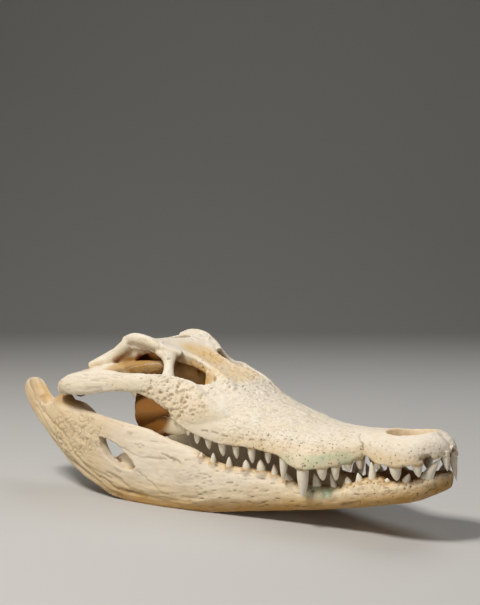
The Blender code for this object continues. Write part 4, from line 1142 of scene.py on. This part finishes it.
jaw_top = profile(
    (-0.313, 0.272), (-0.3, 0.298), (-0.279, 0.308), (-0.255, 0.299), (-0.22, 0.264), (-0.19, 0.25),
    (-0.16, 0.256), (-0.125, 0.272), (-0.1, 0.25), (-0.05, 0.24), (0.048, 0.229), (0.133, 0.216),
    (0.207, 0.206), (0.25, 0.191), (0.306, 0.175), (0.359, 0.158), (0.39, 0.141), (0.42, 0.132),
    (0.465, 0.126), (0.516, 0.125), (0.554, 0.123), (0.586, 0.115), (0.622, 0.105), (0.696, 0.101),
    (0.741, 0.11), (0.773, 0.123), (0.8, 0.135), (0.842, 0.144), (0.871, 0.139), (0.906, 0.148),
    (0.94, 0.155), (0.975, 0.164), (0.99, 0.164))
jaw_corner = profile((-0.313, 0.8), (-0.1, 0.72), (0.6, 0.66), (0.8, 0.52), (0.94, 0.5), (0.99, 0.6))
jaw_lean = profile((-0.313, 0.4), (0.0, 1.0), (0.85, 1.0), (0.99, 0.3))
JAW_LEAN = 0.014
SYMPHYSIS_START = 0.8
MIDPLANE_OVERLAP = 0.004
WINDOW_OUTLINE = (
    (0.058, 0.168), (0.068, 0.143), (0.085, 0.12), (0.117, 0.102), (0.144, 0.092), (0.177, 0.089),
    (0.193, 0.101), (0.18, 0.117), (0.158, 0.133), (0.127, 0.153), (0.096, 0.165), (0.07, 0.17))
LOWER_TEETH = (
    (0.376, 0.142, 0.157, 0.0066, 0.002), (0.409, 0.131, 0.159, 0.0092, 0.002),
    (0.452, 0.123, 0.153, 0.0094, 0.002), (0.498, 0.122, 0.149, 0.0118, 0.0),
    (0.537, 0.121, 0.154, 0.013, 0.0), (0.572, 0.115, 0.145, 0.0094, 0.0),
    (0.612, 0.104, 0.126, 0.0112, -0.01), (0.683, 0.099, 0.133, 0.0112, -0.006),
    (0.727, 0.103, 0.137, 0.0084, -0.01), (0.764, 0.117, 0.136, 0.0094, -0.003),
    (0.793, 0.128, 0.148, 0.0086, -0.003), (0.828, 0.138, 0.179, 0.0095, -0.002),
    (0.866, 0.134, 0.147, 0.009, 0.002), (0.91, 0.142, 0.164, 0.0095, 0.01))
LOWER_SOCKET_INSET = 0.018
FRONT_LOWER_SOCKET = (0.953, -0.041, 0.15, 0.0165)


def lower_side(x):
    """How far from the midplane the lower teeth stand."""
    return jaw_outer(x) - LOWER_SOCKET_INSET


def jaw_ring(x):
    """The right side's section: taller than wide, its lower border nearer the midline than its side."""
    outer, low, high = jaw_outer(x), jaw_bottom(x), jaw_top(x)
    inner = outer - jaw_thickness(x) if x < SYMPHYSIS_START else -MIDPLANE_OVERLAP
    inner = max(inner, -MIDPLANE_OVERLAP)
    corner = jaw_corner(x)
    ring = []
    for angle in np.linspace(0, 2 * math.pi, RING_POINTS + 1)[:-1]:
        across = signed_power(math.cos(angle), corner)
        up = signed_power(math.sin(angle), corner)
        lean = JAW_LEAN * jaw_lean(x) * up * up * (1.0 if up < 0 else 0.4) if across > 0 else 0.0
        y = (outer + inner) / 2 + (outer - inner) / 2 * across - lean
        ring.append((x, -y, (low + high) / 2 + (high - low) / 2 * up))
    return ring


jaw_stations = np.concatenate([np.linspace(REAR_OF_JAW, 0.93, 130), np.linspace(0.936, 0.99, 20)])
ramus = loft("ramus", [jaw_ring(x) for x in jaw_stations])
window = loft("window", [[(x, y, z) for x, z in WINDOW_OUTLINE] for y in (-0.3, -0.19)])
trough = strut("trough", (-0.3, -0.205, 0.345, 0.012, 0.012), (-0.272, -0.208, 0.312, 0.021, 0.024),
               (-0.235, -0.213, 0.28, 0.024, 0.028), (-0.195, -0.218, 0.254, 0.024, 0.026),
               (-0.16, -0.224, 0.266, 0.016, 0.02))
glenoid = strut("glenoid", (-0.1, -0.262, 0.293, 0.026, 0.026), (-0.1, -0.15, 0.285, 0.028, 0.03))
articular = strut("articular", (-0.135, -0.2, 0.215, 0.04, 0.04), (-0.085, -0.195, 0.215, 0.05, 0.03),
                  (-0.05, -0.185, 0.19, 0.03, 0.03), (0.0, -0.2, 0.11, 0.014, 0.034),
                  (0.055, -0.204, 0.055, 0.012, 0.03), (0.1, -0.2, 0.064, 0.01, 0.048),
                  (0.14, -0.195, 0.075, 0.01, 0.056), (0.21, -0.18, 0.075, 0.012, 0.058),
                  (0.32, -0.16, 0.08, 0.012, 0.055))
jaw_parts = [cut_by(ramus, [window, trough, glenoid]), cut_by(articular, [glenoid.copy()])]
for x, socket, tip, radius, lean in LOWER_TEETH:
    jaw_parts.append(collar(x, -lower_side(x), socket, radius, 1))
jaw_parts.append(collar(*FRONT_LOWER_SOCKET, 1))
right_jaw = grown_together("right_jaw", jaw_parts, softening=7)

# Vessel grooves and sutures of the jaw's outer side: width, depth and darkness, then the line as places
# along the head with their heights.
JAW_GROOVES = (
    (1.7, 2.0, 0.45, (-0.24, 0.25), (-0.186, 0.211), (-0.145, 0.19), (-0.108, 0.174), (-0.069, 0.151),
     (-0.039, 0.114), (-0.006, 0.087), (0.038, 0.067), (0.087, 0.047), (0.122, 0.031), (0.162, 0.028),
     (0.219, 0.022)),
    (1.5, 1.3, 0.35, (-0.225, 0.225), (-0.15, 0.16), (-0.095, 0.12), (-0.04, 0.078), (0.02, 0.05)),
    (1.5, 1.5, 0.4, (-0.065, 0.104), (-0.036, 0.079), (0.008, 0.06), (0.054, 0.04), (0.087, 0.022),
     (0.134, 0.015)),
    (1.8, 1.5, 0.3, (0.093, 0.075), (0.125, 0.063), (0.172, 0.037), (0.196, 0.035), (0.22, 0.028),
     (0.26, 0.022)),
    (1.0, 0.6, 0.45, (0.188, 0.097), (0.213, 0.086), (0.244, 0.065), (0.276, 0.041), (0.292, 0.04)),
    (1.2, 0.7, 0.45, (0.058, 0.178), (0.118, 0.158), (0.156, 0.145), (0.19, 0.135), (0.222, 0.13),
     (0.256, 0.131), (0.285, 0.131)),
    (0.9, 1.0, 0.85, (0.272, 0.147), (0.3, 0.136), (0.329, 0.126)),
    (0.8, 0.6, 0.5, (0.19, 0.165), (0.215, 0.16)))
JAW_SLITS = (
    ((0.457, 0.09), (0.472, 0.09)), ((0.477, 0.071), (0.482, 0.071)), ((0.394, 0.057), (0.404, 0.056)))


def carved_jaw(mesh, shift):
    """One half of the jaw with its skin carved; the shift makes the two halves differ a little."""
    surface = Surface(mesh)
    shut = shut_in(surface)
    # Painted shade where the rays find the jaw shut in.
    surface.masks["painted_shade"] = 0.8 * eased((shut - 0.55) / 0.4)
    in_the_open = 1 - eased((shut - 0.45) / 0.3)
    carve_all_over(surface)
    points, along, high = surface.points, surface.folded[:, 0], surface.folded[:, 2]
    outward = eased(surface.outward * 3)
    outer_half = 0.4 + 0.6 * outward

    # Gnarled folds over the muscle's seat at the rear, and streaks that follow the lower border.
    gnarl = patch(surface.folded, (-0.035, 0.25, 0.165), (0.115, 0.06, 0.062)) * outward
    folds = ripple(points, 6.0 * MM, 81 + shift) + 0.55 * ripple(points, 3.0 * MM, 82 + shift)
    surface.depth -= gnarl * 1.05 * MM * eased(1 - np.abs(folds) / 0.3)
    # The folds' hollows are darkened: painted shade.
    surface.add("seam_dark_and_painted_shade", gnarl * 0.26 * eased(1 - np.abs(folds) / 0.16))
    # Painted shade: the jaw's front and its rear are darkened a little.
    surface.add("seam_dark_and_painted_shade", 0.13 * between(along, 0.78, 0.94, 1.1, 1.2))
    surface.add("seam_dark_and_painted_shade", 0.15 * between(along, -0.4, -0.34, 0.05, 0.25))
    over_border = high - jaw_bottom(along)
    over_top = high - jaw_top(along)
    flow = np.stack([points[:, 0], points[:, 1], over_border * HEAD_LENGTH], axis=1)
    streak = ripple(flow, (34 * MM, 9.0 * MM, 4.2 * MM), 83 + shift)
    threads = ripple(flow, (14 * MM, 5.0 * MM, 2.0 * MM), 98 + shift)
    border = eased((0.075 - over_border) / 0.03) * between(along, -0.36, -0.3, 0.35, 0.6)
    surface.depth += (0.45 + 0.55 * border) * (0.85 * MM * streak + 0.36 * MM * threads) * outer_half
    # The hollows of the streaks and threads are darkened: painted shade.
    surface.add("seam_dark_and_painted_shade", (0.25 + 0.75 * border) * 0.38 * eased((-streak - 0.4) / 0.35) * outer_half)
    surface.add("seam_dark_and_painted_shade", 0.26 * eased((-threads - 0.5) / 0.3) * outer_half)

    # Short dashes along the tooth-bearing bone, pits at the chin, rim and row, and flutes under the teeth.
    dentary = between(along, 0.28, 0.38, 0.985, 1.0) * outward
    wavy = flow + (0, 0, 1) * (0.9 * MM * ripple(points, 8 * MM, 85 + shift))[:, None]
    dashes = spot_distance(wavy * (0.22, 1.0, 1.8), 4.4 * MM, 84 + shift)
    dash = dentary * eased(1.2 - dashes / (1.25 * MM)) * eased((0.145 - high) / 0.02)
    dash *= 0.6 + 0.4 * ripple(points, 14 * MM, 86 + shift)
    surface.depth -= 1.7 * MM * dash
    # The dashes are darkened: painted shade in the slits.
    surface.add("seam_dark_and_painted_shade", 0.85 * dash)
    chin = between(along, 0.77, 0.84, 1.0, 1.1) * in_the_open
    surface.pits(chin, 5.2, 1.25, 1.1, 87 + shift, dark=0.65)
    rim = patch(surface.folded * (0, 1, 1), (0, 0.08, 0.14), (1, 0.05, 0.03))
    rim *= between(along, 0.7, 0.78, 0.94, 0.96)
    surface.pits(rim, 4.6, 2.0, 1.2, 90 + shift, dark=0.4)
    margin = between(along, 0.58, 0.64, 0.93, 0.95) * eased((over_top + 0.032) / 0.012) * outward
    flutes = ripple(points, (2.6 * MM, 5.0 * MM, 9.0 * MM), 89 + shift)
    surface.depth += margin * (0.5 + 0.6 * eased((along - 0.72) / 0.02)) * MM * flutes
    # The flutes' hollows are darkened: painted shade.
    surface.add("seam_dark_and_painted_shade", 0.25 * margin * eased((-flutes - 0.25) / 0.3))
    row = between(along, 0.34, 0.38, 0.94, 0.97) * eased((surface.upright - 0.3) / 0.4)
    row *= eased((high - 0.08) / 0.02)
    surface.pits(row, 5.5, 2.2, 1.1, 93 + shift, dark=0.55)

    for count, (width, depth, dark, *line) in enumerate(JAW_GROOVES):
        surface.groove(line, width, depth, dark, 100 + 3 * count + shift, wander=1.6)
    for count, slit in enumerate(JAW_SLITS):
        surface.groove(slit, 0.8, 0.9, 0.8, 140 + count + shift)

    # The colouring: a flank paler with painted light, painted shade on the inner side, stain with painted
    # shade at the hinge, stain at the tooth row, and painted warm shade with deep painted shade at the keel
    # and the tail.
    surface.add("pores", 0.2 * dentary + 0.8 * chin + 0.4 * rim)
    # Sun bleach and painted light on faces that look up, and painted light on the flank.
    surface.masks["bleach_and_painted_light"] = 0.75 * eased(surface.upright / 0.8) * in_the_open
    flank = between(along, 0.02, 0.16, 0.62, 0.78) * eased((over_border - 0.045) / 0.05) * outward
    surface.at_least("bleach_and_painted_light", 0.85 * flank)
    # Painted shade on the jaw's inner side.
    inside = eased(-surface.outward * 3) * between(along, 0.25, 0.4, 1.1, 1.2)
    surface.tint(inside, painted_shade=0.45)
    # Painted warm shade in the trough behind the jaw joint.
    surface.tint(patch(surface.folded, (-0.225, 0.208, 0.272), (0.075, 0.024, 0.035), 0.6), stain_and_painted_shade=0.5)
    surface.tint(between(along, -0.4, -0.34, 0.05, 0.25) * outward, stain_and_painted_shade=0.1)
    # Stain, warm painted shade and deep painted shade at the hinge.
    hinge = patch(surface.folded, (-0.095, 0.205, 0.262), (0.055, 0.06, 0.026), 0.8)
    surface.tint(hinge, stain_and_painted_shade=0.7, painted_shade=0.38)
    surface.tint(row, stain_and_painted_shade=0.42)
    # Painted warm shade, a painted warm reflection and deep painted shade along the lower border.
    keel = eased((0.05 - over_border) / 0.045) * between(along, -0.02, 0.2, 1.1, 1.2)
    surface.tint(keel, stain_and_painted_shade=1.0, painted_shade=0.5)
    # Slight painted shade over the jaw's rear end.
    surface.tint(patch(surface.folded, (-0.29, 0.21, 0.27), (0.11, 0.06, 0.08), 0.6), painted_shade=0.08)
    mottle = 0.5 + 0.5 * ripple(points, 30 * MM, 96 + shift)
    surface.tint(mottle * outward * (1 - 0.7 * flank), stain_and_painted_shade=0.24)
    surface.add("green", 0.8 * patch(surface.folded, (0.7, 0.105, 0.096), (0.045, 0.05, 0.02), 0.9))
    surface.gum(LOWER_TEETH, lower_side, 1)
    surface.depth *= eased(np.abs(surface.points[:, 1]) / (3 * MM) - 0.5)
    return surface.finish(cad_low, cad_high)


jaw_bone = bone_material("jaw_bone", (0.8, 0.65, 0.42), (0.86, 0.74, 0.54))
left_jaw = mirrored(right_jaw)
for half, shift, low, node in (
        (right_jaw, 0, -0.4, "mandible_right"), (left_jaw, 500, 0.0, "mandible_left")):
    half = carved_jaw(half, shift)
    for _ in range(2):
        half.materials.append(jaw_bone)
    keep = rough_cutter(node + "_side", (-0.4, low, -0.02), (1.1, low + 0.4, 0.6), waver=0.0)
    show(node + "_bone", outer_shell(cut_by(half, [keep], "INTERSECT")), node)

# ---- Teeth: pale enamel cones, one geometry for all, planted on points with each tooth's own size, lean and
# fullness. Upper and lower rows are a piece for each side, their roots sunk in the collars of the jaws.

ROOT_DEPTH = 0.014
TOOTH_INPUTS = (("Sides", "NodeSocketInt"), ("Rings", "NodeSocketInt"), ("Material", "NodeSocketMaterial"))


class ToothTree(NodeWriter):
    """Writes the geometry node tree of the teeth."""

    def __init__(self):
        self.tree = bpy.data.node_groups.new("teeth", "GeometryNodeTree")
        for way in ("INPUT", "OUTPUT"):
            self.tree.interface.new_socket("Geometry", in_out=way, socket_type="NodeSocketGeometry")
        for name, kind in TOOTH_INPUTS:
            self.tree.interface.new_socket(name, in_out="INPUT", socket_type=kind)
        self.given = self.tree.nodes.new("NodeGroupInput").outputs
        self.result = self.tree.nodes.new("NodeGroupOutput").inputs[0]

    def named(self, name, kind="FLOAT"):
        return self.node("GeometryNodeInputNamedAttribute", {"Name": name}, data_type=kind).outputs[0]


def tooth_nodes():
    """Each point becomes a tooth: a unit cone whose skin is moved to that tooth's width at every height."""
    net = ToothTree()
    cone = net.node("GeometryNodeMeshCone", {
        "Vertices": net.given["Sides"], "Side Segments": net.given["Rings"], "Radius Top": 0.0,
        "Radius Bottom": 1.0, "Depth": 1.0}, fill_type="NGON")
    unit = net.node("GeometryNodeStoreNamedAttribute", {
        "Geometry": cone.outputs["Mesh"], "Name": "unit",
        "Value": net.node("GeometryNodeInputPosition").outputs[0]},
        data_type="FLOAT_VECTOR", domain="POINT")
    spread = net.node("GeometryNodeInstanceOnPoints",
                      {"Points": net.given["Geometry"], "Instance": unit.outputs["Geometry"]})
    real = net.node("GeometryNodeRealizeInstances", {"Geometry": spread.outputs["Instances"]})

    x, y, z = net.node("ShaderNodeSeparateXYZ", {0: net.named("unit", "FLOAT_VECTOR")}).outputs
    reach = net.math("SQRT", net.math("ADD", net.math("POWER", x, 2.0), net.math("POWER", y, 2.0)))
    reach = net.math("MAXIMUM", reach, 1e-6)
    height, root = net.named("height"), net.named("root")
    length = net.math("ABSOLUTE", height)
    up = net.math("SUBTRACT", net.product(z, net.math("ADD", length, root)), root)
    share = net.math("MAXIMUM", net.math("DIVIDE", up, length), 0.0)
    taper = net.math("SUBTRACT", 1.0, net.math("POWER", share, net.named("fullness")))
    taper = net.math("POWER", net.math("MAXIMUM", taper, 0.0), net.named("bluntness"))
    below_tip = net.math("SUBTRACT", 1.0, net.math("MINIMUM", share, 1.0))
    neck = net.math("SUBTRACT", 1.0, net.product(net.named("waist"), net.math("POWER", below_tip, 3.0)))
    width = net.product(net.named("radius"), taper, neck)
    curl = net.math("POWER", share, 1.6)
    along = net.math("ADD", net.product(net.math("DIVIDE", x, reach), width),
                     net.product(net.named("lean_x"), curl))
    across = net.math("ADD", net.product(net.math("DIVIDE", y, reach), width, net.named("flatness")),
                      net.product(net.named("lean_y"), curl))
    rise = net.product(up, net.math("SIGN", height))

    shift = net.node("ShaderNodeCombineXYZ", {0: along, 1: across, 2: rise})
    socket = net.named("socket", "FLOAT_VECTOR")
    planted = net.node("ShaderNodeVectorMath", {0: socket, 1: shift.outputs[0]}, operation="ADD")
    moved = net.node("GeometryNodeSetPosition",
                     {"Geometry": real.outputs[0], "Position": planted.outputs[0]})
    closed = net.node("GeometryNodeMergeByDistance", {"Geometry": moved.outputs[0], "Distance": 0.00002})
    smooth = net.node("GeometryNodeSetShadeSmooth", {"Geometry": closed.outputs[0], "Shade Smooth": True})
    final = net.node("GeometryNodeSetMaterial",
                     {"Geometry": smooth.outputs[0], "Material": net.given["Material"]})
    net.plug(final.outputs[0], net.result)
    return net.tree


def tooth_row(name, teeth, node):
    """A piece of teeth. Each: socket x, y, z, tip x, y, z, radius, fullness, bluntness, waist, flatness."""
    mesh = bpy.data.meshes.new(name + "_points")
    sockets = [((x - MIDDLE) * HEAD_LENGTH, y * HEAD_LENGTH, z * HEAD_LENGTH) for x, y, z, *_ in teeth]
    mesh.from_pydata(sockets, [], [])
    mesh.attributes.new("socket", "FLOAT_VECTOR", "POINT").data.foreach_set("vector", np.ravel(sockets))
    x, y, z, tip_x, tip_y, tip_z, radius, *figures = np.array(teeth).T
    columns = {"height": (tip_z - z) * HEAD_LENGTH, "root": [ROOT_DEPTH * HEAD_LENGTH] * len(teeth),
               "lean_x": (tip_x - x) * HEAD_LENGTH, "lean_y": (tip_y - y) * HEAD_LENGTH,
               "radius": radius * HEAD_LENGTH}
    columns.update(zip(("fullness", "bluntness", "waist", "flatness"), figures))
    for key, values in columns.items():
        mesh.attributes.new(key, "FLOAT", "POINT").data.foreach_set("value", list(values))
    host = placed(name + "_host", mesh)
    grow = host.modifiers.new("grow", "NODES")
    grow.node_group = tooth_tree
    for socket in tooth_tree.interface.items_tree:
        if socket.in_out == "INPUT" and socket.name in TOOTH_SETTINGS:
            grow[socket.identifier] = TOOTH_SETTINGS[socket.name]
    grown = evaluated(host)
    bpy.data.objects.remove(host)
    bm = bmesh.new()
    bm.from_mesh(grown)
    bmesh.ops.recalc_face_normals(bm, faces=bm.faces)
    bm.to_mesh(grown)
    bm.free()
    stand_for(placed(name, grown), node)


def enamel_material():
    """Pale enamel with clouds and faint lengthwise streaks, glossier than the bone."""
    paint = Shading("enamel")
    streaks = paint.noise(700.0, 3.0, 0.6, paint.stretched((1.0, 1.0, 0.12)))
    clouds = paint.noise(90.0, 3.0)
    colour = paint.mixed(paint.ramp(clouds, 0.3, 0.7), (0.82, 0.73, 0.56), (0.9, 0.84, 0.72))
    colour = paint.mixed(paint.ramp(streaks, 0.5, 0.75, 0.0, 0.3), colour, (0.66, 0.52, 0.34))
    normal = paint.bump(streaks, 0.00015, 0.7)
    return paint.set(Base_Color=colour, Roughness=paint.ramp(clouds, 0.3, 0.7, 0.24, 0.36), Normal=normal,
                     Subsurface_Weight=0.08, Subsurface_Radius=(0.004, 0.003, 0.002), Coat_Weight=0.15,
                     Coat_Roughness=0.2)


def far_side(teeth, seed):
    """The left side's teeth: the right side's mirrored, with slightly other lengths and leans."""
    other = []
    for k, (x, y, z, tip_x, tip_y, tip_z, *figures) in enumerate(teeth):
        lean, length = [random_of(np.array((k, n, seed)), 7) - 0.5 for n in range(2)]
        other.append((x, -y, z, tip_x + 0.004 * lean, -tip_y, tip_z + 0.006 * length, *figures))
    return other


enamel = enamel_material()
tooth_tree = tooth_nodes()
TOOTH_SETTINGS = {"Sides": 24, "Rings": 16, "Material": enamel}
TOOTH_SWELL = 1.06
LEAFY_BEHIND = 0.6

upper_teeth = []
for x, socket, tip, radius, lean in UPPER_TEETH:
    y, leafy = -upper_side(x), x < LEAFY_BEHIND
    upper_teeth.append((x, y, socket, x + lean, y + 0.002, tip, radius * TOOTH_SWELL, 2.0,
                        0.72 if leafy else 0.66, 0.2 if leafy else 0.0, 0.88))
upper_left_teeth = far_side(upper_teeth, 3)
upper_teeth.append((0.989, -0.021, 0.205, 0.993, -0.02, 0.172, 0.009, 1.6, 0.8, 0.0, 0.9))
upper_left_teeth.append((0.988, 0.019, 0.203, 0.997, 0.018, 0.144, 0.0092, 1.6, 0.8, 0.0, 0.9))

lower_teeth = []
for x, socket, tip, radius, lean in LOWER_TEETH:
    y, leafy = -lower_side(x), x < LEAFY_BEHIND
    lower_teeth.append((x, y, socket, x + lean, y - 0.3 * radius, tip, radius * TOOTH_SWELL, 1.8, 0.8,
                        0.15 if leafy else 0.0, 0.88))
lower_left_teeth = far_side(lower_teeth, 5)
lower_teeth.append((0.953, -0.041, 0.15, 0.986, -0.039, 0.203, 0.0156, 1.6, 0.85, 0.0, 0.9))
lower_left_teeth.append((0.953, 0.041, 0.15, 0.983, 0.038, 0.196, 0.014, 1.5, 0.8, 0.0, 0.9))

tooth_row("upper_teeth_right", upper_teeth, "rostrum")
tooth_row("upper_teeth_left", upper_left_teeth, "rostrum")
tooth_row("lower_teeth_right", lower_teeth, "mandible_right")
tooth_row("lower_teeth_left", lower_left_teeth, "mandible_left")
